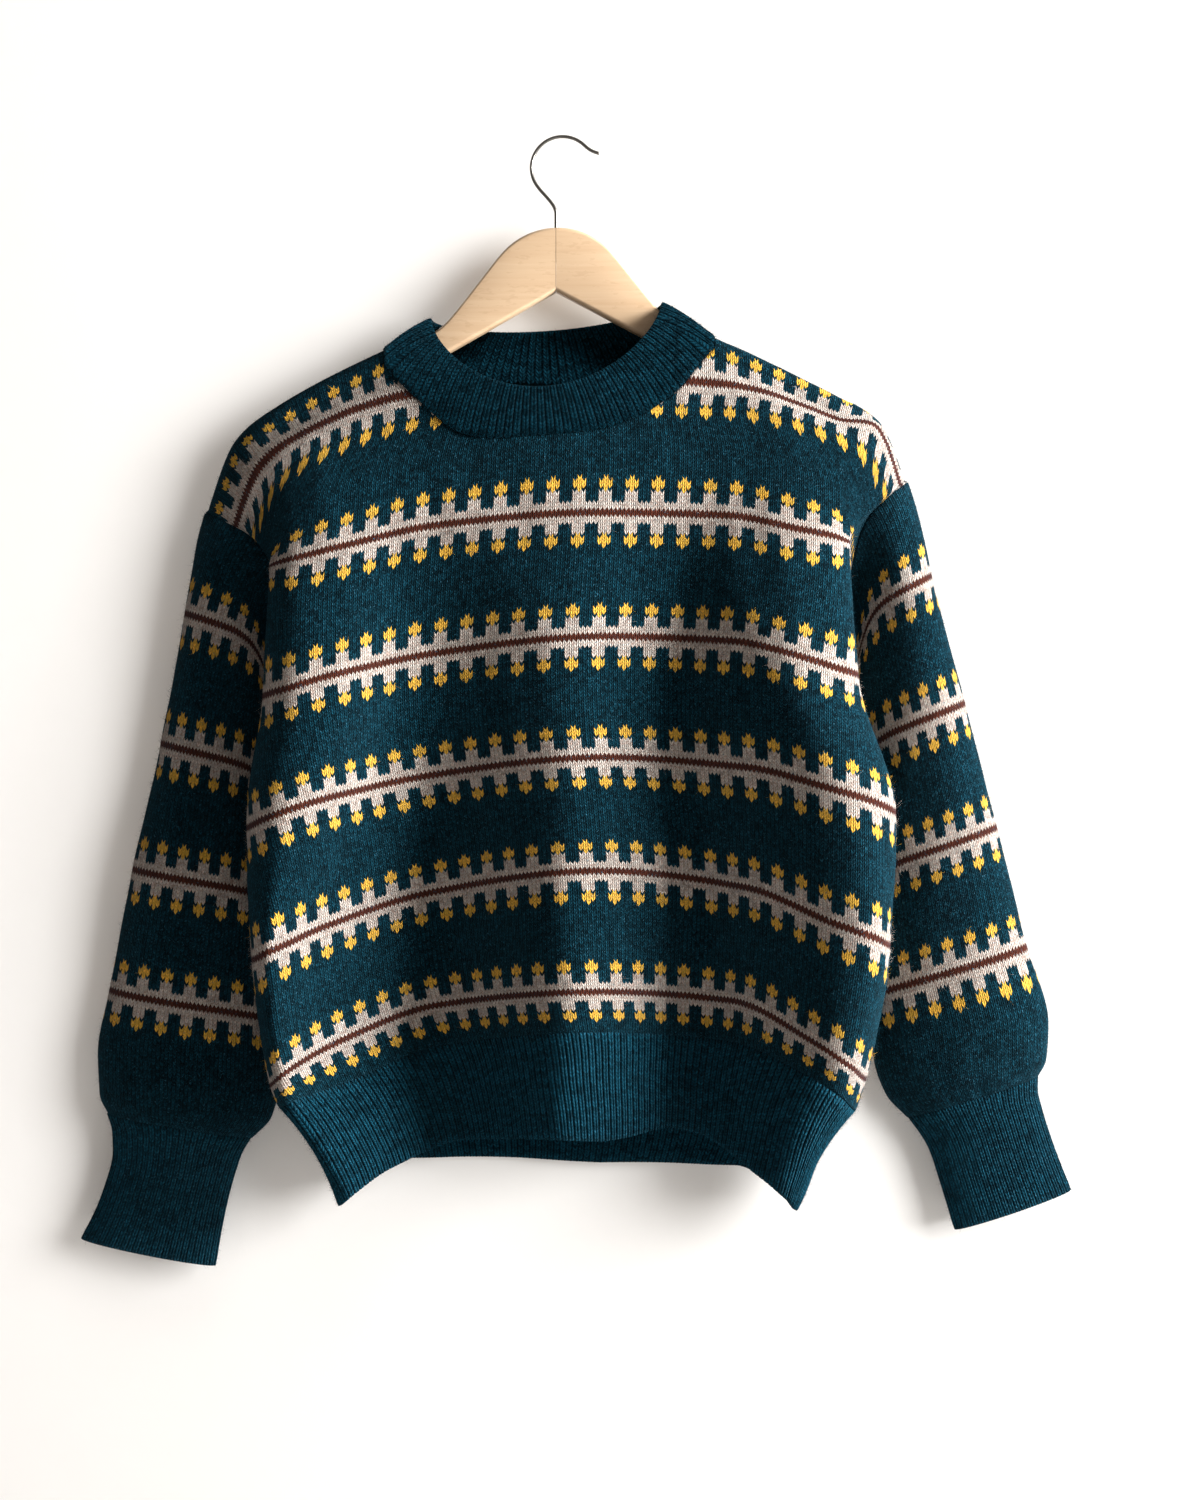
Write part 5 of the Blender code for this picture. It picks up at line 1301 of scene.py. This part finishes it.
# ------------------------------------------------------------------- hanger
def fine_half(sign, name):
    """One half of the wood: rounded sections from the joint to the tip."""
    xs = np.concatenate([[0.15], np.linspace(2, 90, 45), np.linspace(94, 188, 24),
                         HANGER_REACH - 12.0 * (1 - np.sin(np.linspace(0.35, 1, 9) * math.pi / 2))])
    xs = np.unique(np.round(xs, 4))
    h, e = HANGER_THICK / 2, HANGER_EDGE
    rings = []
    m = 6
    for x in xs:
        top, low = float(hump(x)), float(underside(x))
        mid, half = (top + low) / 2, (top - low) / 2
        end = max(0.0, (x - (HANGER_REACH - 12.0)) / 12.0)
        k = math.sqrt(max(0.0, 1 - end ** 2.4))
        half = 1.5 + (half - 1.5) * k
        hh = 2.0 + (h - 2.0) * (0.25 + 0.75 * k)
        ee = min(e, half * 0.6, hh * 0.6)
        ring_pts = []
        for cy, cz, a0 in ((-hh + ee, half - ee, math.pi), (hh - ee, half - ee, math.pi / 2),
                           (hh - ee, -half + ee, 0.0), (-hh + ee, -half + ee, -math.pi / 2)):
            for q in range(m + 1):
                a = a0 - q / m * math.pi / 2
                ring_pts.append((cy + ee * math.cos(a), cz + ee * math.sin(a)))
        line = []
        for y, z in ring_pts:
            px, pz = sign * x, mid + z
            ca, sa = math.cos(HANGER_TILT), math.sin(HANGER_TILT)
            line.append((HANGER_X + px * ca, y, HANGER_TOP + pz * ca + px * sa))
        rings.append(line)
    rings = np.array(rings)
    nx, nr = rings.shape[:2]
    faces = []
    for i in range(nx - 1):
        for j in range(nr):
            a, b = i * nr + j, i * nr + (j + 1) % nr
            faces.append((a, b, b + nr, a + nr))
    faces.append(tuple(range(nr - 1, -1, -1)))
    faces.append(tuple((nx - 1) * nr + j for j in range(nr)))
    if sign > 0:
        faces = [f[::-1] for f in faces]
    me = bpy.data.meshes.new(name)
    me.from_pydata((rings.reshape(-1, 3) * MM).tolist(), [], faces)
    me.shade_smooth()
    me.set_sharp_from_angle(angle=math.radians(40))
    ob = bpy.data.objects.new(name, me)
    bpy.context.scene.collection.objects.link(ob)
    return ob


wood_pieces = {"right": fine_half(-1.0, "beech_right"), "left": fine_half(1.0, "beech_left")}


def fine_hook():
    raw = np.array(hook_route())
    a = arc(raw)
    n = 150
    want = np.linspace(0, a[-1], n)
    pts = np.stack([np.interp(want, a, raw[:, c]) for c in range(3)], -1)
    for _ in range(3):
        pts[1:-1] = (pts[:-2] + 2 * pts[1:-1] + pts[2:]) / 4
    verts, faces = tube([tuple(p) for p in pts], WIRE / 2, 16)
    me = bpy.data.meshes.new("hook_wire")
    me.from_pydata((verts * MM).tolist(), [], faces)
    me.shade_smooth()
    ob = bpy.data.objects.new("hook_wire", me)
    bpy.context.scene.collection.objects.link(ob)
    return ob


hook_piece = fine_hook()


# -------------------------------------------------------------------- fuzz
def hairs(ob, face, count, seed, closed, rows=None, length=(1.8, 4.6), radius=0.07):
    """Loose fibres of the yarn: closed needles that lean out of the outer
    face, joined to the piece and coloured by the stitch they grow from."""
    r = np.random.default_rng(seed)
    outer, n, uv = face["outer"], face["normal"], face["uv"]
    I, J = face["cells"]
    I2 = (I + 1) % face["nu"] if closed else I + 1
    a, b, d = outer[I, J], outer[I2, J], outer[I, J + 1]
    area = np.linalg.norm(np.cross(b - a, d - a), axis=1)
    pick = r.choice(len(I), count, p=area / area.sum())
    s_, t_ = r.random(count)[:, None], r.random(count)[:, None]
    a, b, d, c = a[pick], b[pick], d[pick], outer[I2, J + 1][pick]
    base = (a * (1 - s_) + b * s_) * (1 - t_) + (d * (1 - s_) + c * s_) * t_
    ends = uv[I[pick] + 1, J[pick]]
    foot = uv[I[pick], J[pick]] * (1 - s_) + ends * s_
    foot = foot + (uv[I[pick], J[pick] + 1] - uv[I[pick], J[pick]]) * t_
    nn = n[I[pick], J[pick]]
    side = unit(np.cross(nn, r.normal(size=(count, 3))))
    lean = unit(nn * r.uniform(0.25, 1.3, (count, 1)) + side + np.array([0.0, 0.0, -0.15]))
    size = r.uniform(*length, (count, 1)) * r.choice((1.0, 1.0, 1.6), (count, 1))
    u1 = unit(np.cross(lean, side + 0.3 * nn))
    u2 = np.cross(lean, u1)
    root = base - lean * 0.25
    pts = [root + radius * (math.cos(q) * u1 + math.sin(q) * u2)
           for q in (0.0, 2.094, 4.189)]
    tip = base + lean * size
    verts = np.stack(pts + [tip], 1).reshape(-1, 3) * MM
    k = np.arange(count)[:, None] * 4
    tris = np.concatenate([k + np.array(t) for t in ((0, 2, 1), (0, 1, 3), (1, 2, 3), (2, 0, 3))], 0)
    me = bpy.data.meshes.new("hairs")
    me.from_pydata(verts.tolist(), [], tris.tolist())
    layer = me.uv_layers.new(name="knit")
    own = np.repeat(foot, 4, axis=0)
    layer.data.foreach_set("uv", own[tris.ravel()].astype(np.float32).ravel())
    me.shade_smooth()
    bm = bmesh.new()
    bm.from_mesh(ob.data)
    bm.from_mesh(me)
    bm.to_mesh(ob.data)
    bm.free()
    bpy.data.meshes.remove(me)


hairs(front_piece, front_face, 19000, 71, False)
hairs(back_piece, back_face, 12000, 72, False)
for side in ("right", "left"):
    hairs(sleeve_pieces[side], sleeve_faces[side], 10000, 73, True)
for key, count, closed in (("hem_front", 7000, False), ("hem_back", 4000, False),
                           ("cuff_right", 4000, True), ("cuff_left", 4000, True),
                           ("neckband", 6000, True)):
    hairs(rib_pieces[key], rib_faces[key], count, 74, closed, length=(1.4, 3.8))


# ================================================================= materials
def srgb(code):
    out = []
    for i in (0, 2, 4):
        c = int(code[i:i + 2], 16) / 255
        out.append(c / 12.92 if c <= 0.04045 else ((c + 0.055) / 1.055) ** 2.4)
    return (*out, 1.0)


class Nodes:
    """Short names for the nodes of one material."""

    def __init__(self, name):
        self.mat = bpy.data.materials.new(name)
        self.mat.use_nodes = True
        self.t = self.mat.node_tree
        self.bsdf = self.t.nodes["Principled BSDF"]

    def put(self, socket, value):
        if isinstance(value, bpy.types.NodeSocket):
            self.t.links.new(value, socket)
        else:
            socket.default_value = value

    def m(self, op, *args, clamp=False):
        n = self.t.nodes.new("ShaderNodeMath")
        n.operation = op
        n.use_clamp = clamp
        for s, v in zip(n.inputs, args):
            self.put(s, v)
        return n.outputs[0]

    def mix(self, fac, a, b, kind="MIX"):
        n = self.t.nodes.new("ShaderNodeMix")
        n.data_type = "RGBA"
        n.blend_type = kind
        self.put(n.inputs[0], fac)
        self.put(n.inputs[6], a)
        self.put(n.inputs[7], b)
        return n.outputs[2]

    def noise(self, vector, scale, detail=2.0, rough=0.5, stretch=None):
        if stretch is not None:
            mp = self.t.nodes.new("ShaderNodeMapping")
            self.put(mp.inputs[0], vector)
            mp.inputs["Scale"].default_value = stretch
            vector = mp.outputs[0]
        n = self.t.nodes.new("ShaderNodeTexNoise")
        self.put(n.inputs["Vector"], vector)
        n.inputs["Scale"].default_value = scale
        n.inputs["Detail"].default_value = detail
        n.inputs["Roughness"].default_value = rough
        return n.outputs[0]

    def white(self, x, y):
        c = self.t.nodes.new("ShaderNodeCombineXYZ")
        self.put(c.inputs[0], x)
        self.put(c.inputs[1], y)
        n = self.t.nodes.new("ShaderNodeTexWhiteNoise")
        n.noise_dimensions = "2D"
        self.put(n.inputs["Vector"], c.outputs[0])
        return n.outputs[0]

    def knit_map(self):
        n = self.t.nodes.new("ShaderNodeUVMap")
        n.uv_map = "knit"
        s = self.t.nodes.new("ShaderNodeSeparateXYZ")
        self.t.links.new(n.outputs[0], s.inputs[0])
        return s.outputs[0], s.outputs[1], n.outputs[0]

    def where(self):
        n = self.t.nodes.new("ShaderNodeTexCoord")
        return n.outputs["Object"]

    def bump(self, height, distance, strength=1.0, normal=None):
        n = self.t.nodes.new("ShaderNodeBump")
        n.inputs["Strength"].default_value = strength
        n.inputs["Distance"].default_value = distance
        self.put(n.inputs["Height"], height)
        if normal is not None:
            self.put(n.inputs["Normal"], normal)
        return n.outputs[0]


TEAL = srgb("06232D")
TEAL_DEEP = srgb("041A23")
RIB_TEAL = srgb("062632")
GREY = srgb("BBB3AB")
GREY_ROSE = srgb("92796E")
BROWN = srgb("482317")
YELLOW = srgb("D8AB45")
YELLOW_DEEP = srgb("BE872D")


def wool(q, colour, height, painted_light, one, fleck, calm, contrast):
    """Common finish of the wool: hairy, matt, with a soft sheen. `one` is a
    number of its own for every stitch, `calm` is 1 on the smooth pale yarns.
    The colour is darkened in the grooves of the stitches: painted shade."""
    w = q.where()
    fine = q.noise(w, 900.0, 3.0, 0.7)
    grain = q.noise(w, 620.0, 2.0, 0.65)
    cloud = q.noise(w, 40.0, 2.0, 0.5)
    tone = q.m("MULTIPLY_ADD", q.m("SUBTRACT", grain, 0.5), 1.9 * contrast, 1.0)
    tone = q.m("MULTIPLY", tone, q.m("MULTIPLY_ADD", q.m("SUBTRACT", fine, 0.5), 1.5 * contrast, 1.0))
    tone = q.m("MULTIPLY", tone, q.m("MULTIPLY_ADD", q.m("SUBTRACT", one, 0.5), 0.80 * contrast, 1.0))
    tone = q.m("MULTIPLY", tone, q.m("MULTIPLY_ADD", cloud, 0.24, 0.88))
    tone = q.m("MAXIMUM", tone, 0.12)
    # painted shade: the stitch light darkens the colour between the legs and rows of the stitches and lightens it on
    # the legs
    groove = q.m("MULTIPLY_ADD", painted_light, 1.0 + 0.50 * contrast, 0.38 - 0.24 * contrast)
    tone = q.m("MULTIPLY", tone, groove)
    even = q.m("MULTIPLY_ADD", q.m("SUBTRACT", tone, 1.0), 0.27, 0.96)
    tone = q.m("ADD", q.m("MULTIPLY", tone, q.m("SUBTRACT", 1.0, calm)), q.m("MULTIPLY", even, calm))
    c = q.mix(1.0, colour, tone, "MULTIPLY")
    pale = q.noise(w, 760.0, 1.0, 0.6)
    mask = q.m("GREATER_THAN", pale, 0.69)
    c = q.mix(q.m("MULTIPLY", mask, fleck), c, srgb("38677C"))
    q.put(q.bsdf.inputs["Base Color"], c)
    b = q.bump(height, 0.0010, 1.0)
    b = q.bump(grain, 0.0006, 0.5, b)
    q.put(q.bsdf.inputs["Normal"], b)
    q.bsdf.inputs["Roughness"].default_value = 0.95
    q.bsdf.inputs["Specular IOR Level"].default_value = 0.03
    q.bsdf.inputs["Sheen Weight"].default_value = 0.10
    q.bsdf.inputs["Sheen Roughness"].default_value = 0.45
    q.bsdf.inputs["Sheen Tint"].default_value = (0.20, 0.60, 0.85, 1.0)


def stitch(q, u, v, slope=0.9):
    """Stocking stitch: wale number, row number, height of the knitting and
    its painted light and shade: the legs lighter, the colour darker between wales and rows."""
    u2 = q.m("ADD", u, 0.5)
    wale = q.m("FLOOR", u2)
    f = q.m("SUBTRACT", u2, wale)
    side = q.m("ABSOLUTE", q.m("MULTIPLY_ADD", f, 2.0, -1.0))
    ve = q.m("SUBTRACT", v, q.m("MULTIPLY", q.m("SUBTRACT", side, 0.5), slope))
    row = q.m("FLOOR", ve)
    g = q.m("SUBTRACT", ve, row)
    across = q.m("POWER", q.m("SINE", q.m("MULTIPLY", side, math.pi)), 0.55)
    along = q.m("POWER", q.m("SINE", q.m("MULTIPLY", g, math.pi)), 0.45)
    # painted light and shade on the two legs: darker between wales than inside one, and lighter in the middle of
    # each wale
    core = q.m("SUBTRACT", 1.0, side)
    painted_light = q.m("MULTIPLY", across, q.m("MULTIPLY_ADD", side, -0.60, 1.18))
    painted_light = q.m("MULTIPLY_ADD", q.m("MULTIPLY", core, core), 0.35, painted_light)
    return wale, row, q.m("MULTIPLY", across, along), q.m("MULTIPLY", painted_light, along)


def knit_material(name, low, high, plain=None):
    """Charted knitting: bands of the 6-stitch repeat between rows low, high,
    left plain on the inside above the row plain[0] within plain[1] stitches
    of the centre."""
    q = Nodes(name)
    u, v, _ = q.knit_map()
    wale, row, height, painted_light = stitch(q, u, v)
    w = q.m("SUBTRACT", q.m("FLOORED_MODULO", q.m("ADD", row, 5.0), 37.0), 18.5)
    d = q.m("ABSOLUTE", w)                       # rows from the band's middle
    j = q.m("ABSOLUTE", q.m("SUBTRACT", q.m("FLOORED_MODULO", q.m("ADD", wale, 3.0), 6.0), 3.0))
    stem = q.m("LESS_THAN", j, 1.5)
    centre = q.m("LESS_THAN", j, 0.5)

    def lt(x):
        return q.m("LESS_THAN", d, x)

    brown = lt(1.0)
    grey = q.m("MAXIMUM", lt(3.0), q.m("MULTIPLY", lt(6.0), stem))
    wide = q.m("MULTIPLY", q.m("SUBTRACT", lt(9.0), lt(7.0)), stem)
    tips = q.m("MULTIPLY", q.m("SUBTRACT", lt(10.0), lt(6.0)), centre)
    yellow = q.m("MAXIMUM", wide, tips)
    inside = q.m("MULTIPLY", q.m("GREATER_THAN", v, low), q.m("LESS_THAN", v, high))
    if plain is not None:
        geo = q.t.nodes.new("ShaderNodeNewGeometry")
        facing = q.t.nodes.new("ShaderNodeSeparateXYZ")
        q.t.links.new(geo.outputs["True Normal"], facing.inputs[0])
        under = q.m("MULTIPLY", q.m("GREATER_THAN", v, plain[0]),
                    q.m("LESS_THAN", q.m("ABSOLUTE", u), plain[1]))
        under = q.m("MULTIPLY", under, q.m("LESS_THAN", facing.outputs[1], 0.0))
        inside = q.m("MULTIPLY", inside, q.m("SUBTRACT", 1.0, under))
    grey = q.m("MULTIPLY", grey, inside)
    yellow = q.m("MULTIPLY", yellow, inside)
    brown = q.m("MULTIPLY", brown, inside)
    one = q.white(wale, row)
    heather = q.noise(q.where(), 620.0, 3.0, 0.75)
    teal = q.mix(q.m("MULTIPLY", one, 0.55), TEAL, TEAL_DEEP)
    rose = q.m("GREATER_THAN", heather, 0.52)
    grey_c = q.mix(q.m("MULTIPLY", rose, 0.75), GREY, GREY_ROSE)
    yellow_c = q.mix(q.m("MULTIPLY", one, 0.5), YELLOW, YELLOW_DEEP)
    c = q.mix(grey, teal, grey_c)
    c = q.mix(yellow, c, yellow_c)
    c = q.mix(brown, c, BROWN)
    calm = q.m("MAXIMUM", grey, q.m("MAXIMUM", yellow, brown))
    wool(q, c, height, painted_light, one, 0.55, calm, 1.6)
    return q.mat


def rib_material(name, painted_light_gain, contrast=1.0):
    """One by one rib: each rib is one column of stitches with its two legs,
    and a groove on either side whose darkness is painted shade in the colour;
    the gain scales the colour as painted light."""
    q = Nodes(name)
    u, v, _ = q.knit_map()
    wale, row, height, _ = stitch(q, u, v, 1.1)
    one = q.white(wale, row)
    f = q.m("SUBTRACT", q.m("ADD", u, 0.5), wale)
    side = q.m("ABSOLUTE", q.m("MULTIPLY_ADD", f, 2.0, -1.0))
    middle = q.m("MULTIPLY_ADD", side, -2.0, 0.34, clamp=True)
    h = q.m("MAXIMUM", q.m("MULTIPLY", height, 1.0), middle)
    # painted light: the rib's colour is scaled up by the gain, more on pieces that get less light
    c = q.mix(q.m("MULTIPLY", one, 0.5), [x * painted_light_gain for x in RIB_TEAL[:3]] + [1.0],
              [x * painted_light_gain for x in TEAL_DEEP[:3]] + [1.0])
    groove = q.m("SUBTRACT", 1.0, q.m("POWER", side, 5.0))
    h = q.m("MULTIPLY", h, q.m("MULTIPLY_ADD", groove, 0.7, 0.3))
    # painted light and shade of the rib: its legs lighter, its grooves darker
    painted_light = q.m("MULTIPLY", h, q.m("MULTIPLY_ADD", side, -0.40, 1.22))
    wool(q, c, h, painted_light, one, 0.45, 0.0, contrast)
    return q.mat


def wood_material():
    q = Nodes("beech_varnished")
    w = q.where()
    grain = q.noise(w, 26.0, 5.0, 0.62, stretch=(0.35, 5.0, 9.0))
    rays = q.noise(w, 420.0, 2.0, 0.6, stretch=(0.25, 1.0, 1.0))
    c = q.mix(grain, srgb("DCC3A3"), srgb("C39F7B"))
    c = q.mix(q.m("MULTIPLY", q.m("GREATER_THAN", rays, 0.62), 0.16), c, srgb("A8805C"))
    q.put(q.bsdf.inputs["Base Color"], c)
    q.bsdf.inputs["Roughness"].default_value = 0.38
    q.bsdf.inputs["Coat Weight"].default_value = 0.25
    q.bsdf.inputs["Coat Roughness"].default_value = 0.25
    q.put(q.bsdf.inputs["Normal"], q.bump(grain, 0.0002, 0.25))
    return q.mat


def steel_material():
    q = Nodes("drawn_steel_wire")
    w = q.where()
    n = q.noise(w, 300.0, 3.0, 0.6)
    c = q.mix(n, srgb("8F8D89"), srgb("5C5A56"))
    q.put(q.bsdf.inputs["Base Color"], c)
    q.bsdf.inputs["Metallic"].default_value = 1.0
    r = q.m("MULTIPLY_ADD", n, 0.2, 0.2)
    q.put(q.bsdf.inputs["Roughness"], r)
    return q.mat


body_knit = knit_material("wool_fair_isle_body", -5.0, 400.0)
back_knit = knit_material("wool_fair_isle_back", -5.0, 400.0, (202.0, 52.0))
sleeve_knit = knit_material("wool_fair_isle_sleeve", 0.0, 145.0)
# painted light: one teal rib yarn, its colour brightened by a different gain on the hem, the cuffs and the neckband
# to make up for the light each one gets
rib_knits = {"hem": rib_material("wool_rib_hem", 1.65, 1.4), "cuff": rib_material("wool_rib_cuff", 1.1, 1.4),
             "neckband": rib_material("wool_rib_neck", 1.4, 1.5)}
wood_mat = wood_material()
steel_mat = steel_material()
front_piece.data.materials.append(body_knit)
back_piece.data.materials.append(back_knit)
for ob in sleeve_pieces.values():
    ob.data.materials.append(sleeve_knit)
for key, ob in rib_pieces.items():
    ob.data.materials.append(rib_knits[key.split("_")[0]])
for ob in wood_pieces.values():
    ob.data.materials.append(wood_mat)
hook_piece.data.materials.append(steel_mat)

# ==================================================================== frame
NODES = {
    front_piece: ("front_panel", "patterned_knit", (0.596, 0.505), 0.262, ["hanger_half_right", "hanger_half_left"]),
    back_piece: ("back_panel", "patterned_knit", (0.596, 0.505), 0.280, ["hanger_half_right", "hanger_half_left"]),
    sleeve_pieces["right"]: ("sleeve_right", "patterned_knit", (0.290, 0.416), 0.107, ["front_panel"]),
    sleeve_pieces["left"]: ("sleeve_left", "patterned_knit", (0.290, 0.416), 0.107, ["front_panel"]),
    rib_pieces["hem_front"]: ("hem_rib_front", "teal_rib", (0.520, 0.085), None, ["front_panel"]),
    rib_pieces["hem_back"]: ("hem_rib_back", "teal_rib", (0.420, 0.080), None, ["back_panel"]),
    rib_pieces["cuff_right"]: ("cuff_right", "teal_rib", (0.200, 0.095), None, ["sleeve_right"]),
    rib_pieces["cuff_left"]: ("cuff_left", "teal_rib", (0.200, 0.090), None, ["sleeve_left"]),
    rib_pieces["neckband"]: ("neckband", "teal_rib", (0.500, 0.038), None, ["front_panel", "back_panel"]),
}
for ob, (node, slot, flat, area, rests) in NODES.items():
    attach(ob, "root")
    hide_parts(node)
for side, ob in wood_pieces.items():
    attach(ob, "root")
    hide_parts("hanger_half_" + side)
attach(hook_piece, "root")
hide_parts("hanger_hook")


# ==================================================================== stage
def plane(name, corners, mat):
    me = bpy.data.meshes.new(name)
    me.from_pydata(corners, [], [(0, 1, 2, 3)])
    me.materials.append(mat)
    ob = bpy.data.objects.new(name, me)
    bpy.context.scene.collection.objects.link(ob)
    return ob


def pale(name, colour, one_sided):
    q = Nodes(name)
    q.bsdf.inputs["Base Color"].default_value = colour
    q.bsdf.inputs["Roughness"].default_value = 0.95
    q.bsdf.inputs["Specular IOR Level"].default_value = 0.0
    if one_sided:
        q.bsdf.inputs["Emission Color"].default_value = (1.0, 0.80, 0.62, 1.0)
        q.bsdf.inputs["Emission Strength"].default_value = 0.05
        t = q.t
        geo = t.nodes.new("ShaderNodeNewGeometry")
        clear = t.nodes.new("ShaderNodeBsdfTransparent")
        mix = t.nodes.new("ShaderNodeMixShader")
        t.links.new(geo.outputs["Backfacing"], mix.inputs[0])
        t.links.new(q.bsdf.outputs[0], mix.inputs[1])
        t.links.new(clear.outputs[0], mix.inputs[2])
        t.links.new(mix.outputs[0], t.nodes["Material Output"].inputs[0])
    return q.mat


WALL_Y = 0.042
wall = plane("pale_wall", [(-3, WALL_Y, -1.4), (3, WALL_Y, -1.4), (3, WALL_Y, 1.6), (-3, WALL_Y, 1.6)],
             pale("wall_paint", (0.86, 0.855, 0.845, 1.0), True))
wall.visible_diffuse = False
wall.visible_shadow = False
floor = plane("pale_floor", [(-4, -4, -1.4), (4, -4, -1.4), (4, 4, -1.4), (-4, 4, -1.4)],
              pale("floor_paint", (0.80, 0.79, 0.78, 1.0), False))


def area_light(name, azimuth, elevation, distance, size, power, colour):
    """azimuth from straight in front, + to the viewer's right."""
    a, e = math.radians(azimuth), math.radians(elevation)
    d = np.array([math.sin(a) * math.cos(e), -math.cos(a) * math.cos(e), math.sin(e)])
    lamp = bpy.data.lights.new(name, "AREA")
    lamp.shape = "RECTANGLE"
    lamp.size, lamp.size_y = size
    lamp.energy = power
    lamp.color = colour
    ob = bpy.data.objects.new(name, lamp)
    target = np.array([0.0, 0.0, -0.44])
    ob.location = target + d * distance
    from mathutils import Vector
    ob.rotation_euler = Vector(-d).to_track_quat("-Z", "Y").to_euler()
    bpy.context.scene.collection.objects.link(ob)
    return ob


def only_for(lamp, name, objects):
    group = bpy.data.collections.new(name)
    for ob in objects:
        group.objects.link(ob)
    lamp.light_linking.receiver_collection = group


jumper = [front_piece, back_piece, hook_piece] + list(sleeve_pieces.values()) \
    + [ob for key, ob in rib_pieces.items() if key != "neckband"] + list(wood_pieces.values())
only_for(area_light("window", 75, 16, 2.6, (0.9, 1.1), 290.0, (1.0, 0.99, 0.975)),
         "lit_cloth", jumper)
only_for(area_light("window_on_wall", 46, 10, 2.6, (1.7, 1.4), 97.0, (1.0, 0.99, 0.975)),
         "lit_stage", [wall, floor])
only_for(area_light("ceiling_on_wall", 12, 62, 2.4, (1.8, 1.4), 16.0, (1.0, 0.99, 0.975)),
         "lit_wall", [wall, floor])
only_for(area_light("window_on_neck", 46, 38, 2.6, (0.9, 0.9), 80.0, (1.0, 0.98, 0.96)),
         "lit_neck", [rib_pieces["neckband"]])
only_for(area_light("bounce", 35, 4, 2.4, (1.2, 1.2), 26.0, (1.0, 0.95, 0.90)),
         "lit_cuffs", [rib_pieces[k] for k in ("cuff_right", "cuff_left")])
area_light("room_behind", 180, 22, 3.0, (2.0, 2.0), 60.0, (1.0, 0.99, 0.97))
world = bpy.data.worlds.new("room")
bpy.context.scene.world = world
world.use_nodes = True
world.node_tree.nodes["Background"].inputs[0].default_value = (1.0, 0.90, 0.82, 1.0)
world.node_tree.nodes["Background"].inputs[1].default_value = 0.22
scene = bpy.context.scene
scene.view_settings.view_transform = "Standard"
scene.view_settings.look = "None"

cam = bpy.data.cameras.new("camera")
cam.lens = 55.44
cam.sensor_fit = "AUTO"
cam.sensor_width = 36.0
cam.clip_end = 50.0
cam_ob = bpy.data.objects.new("camera", cam)
cam_ob.location = (0.0258, -1.650, -0.437)
cam_ob.rotation_euler = (math.pi / 2, 0.0, 0.0)
bpy.context.scene.collection.objects.link(cam_ob)
bpy.context.scene.camera = cam_ob

bpy.context.view_layer.update()
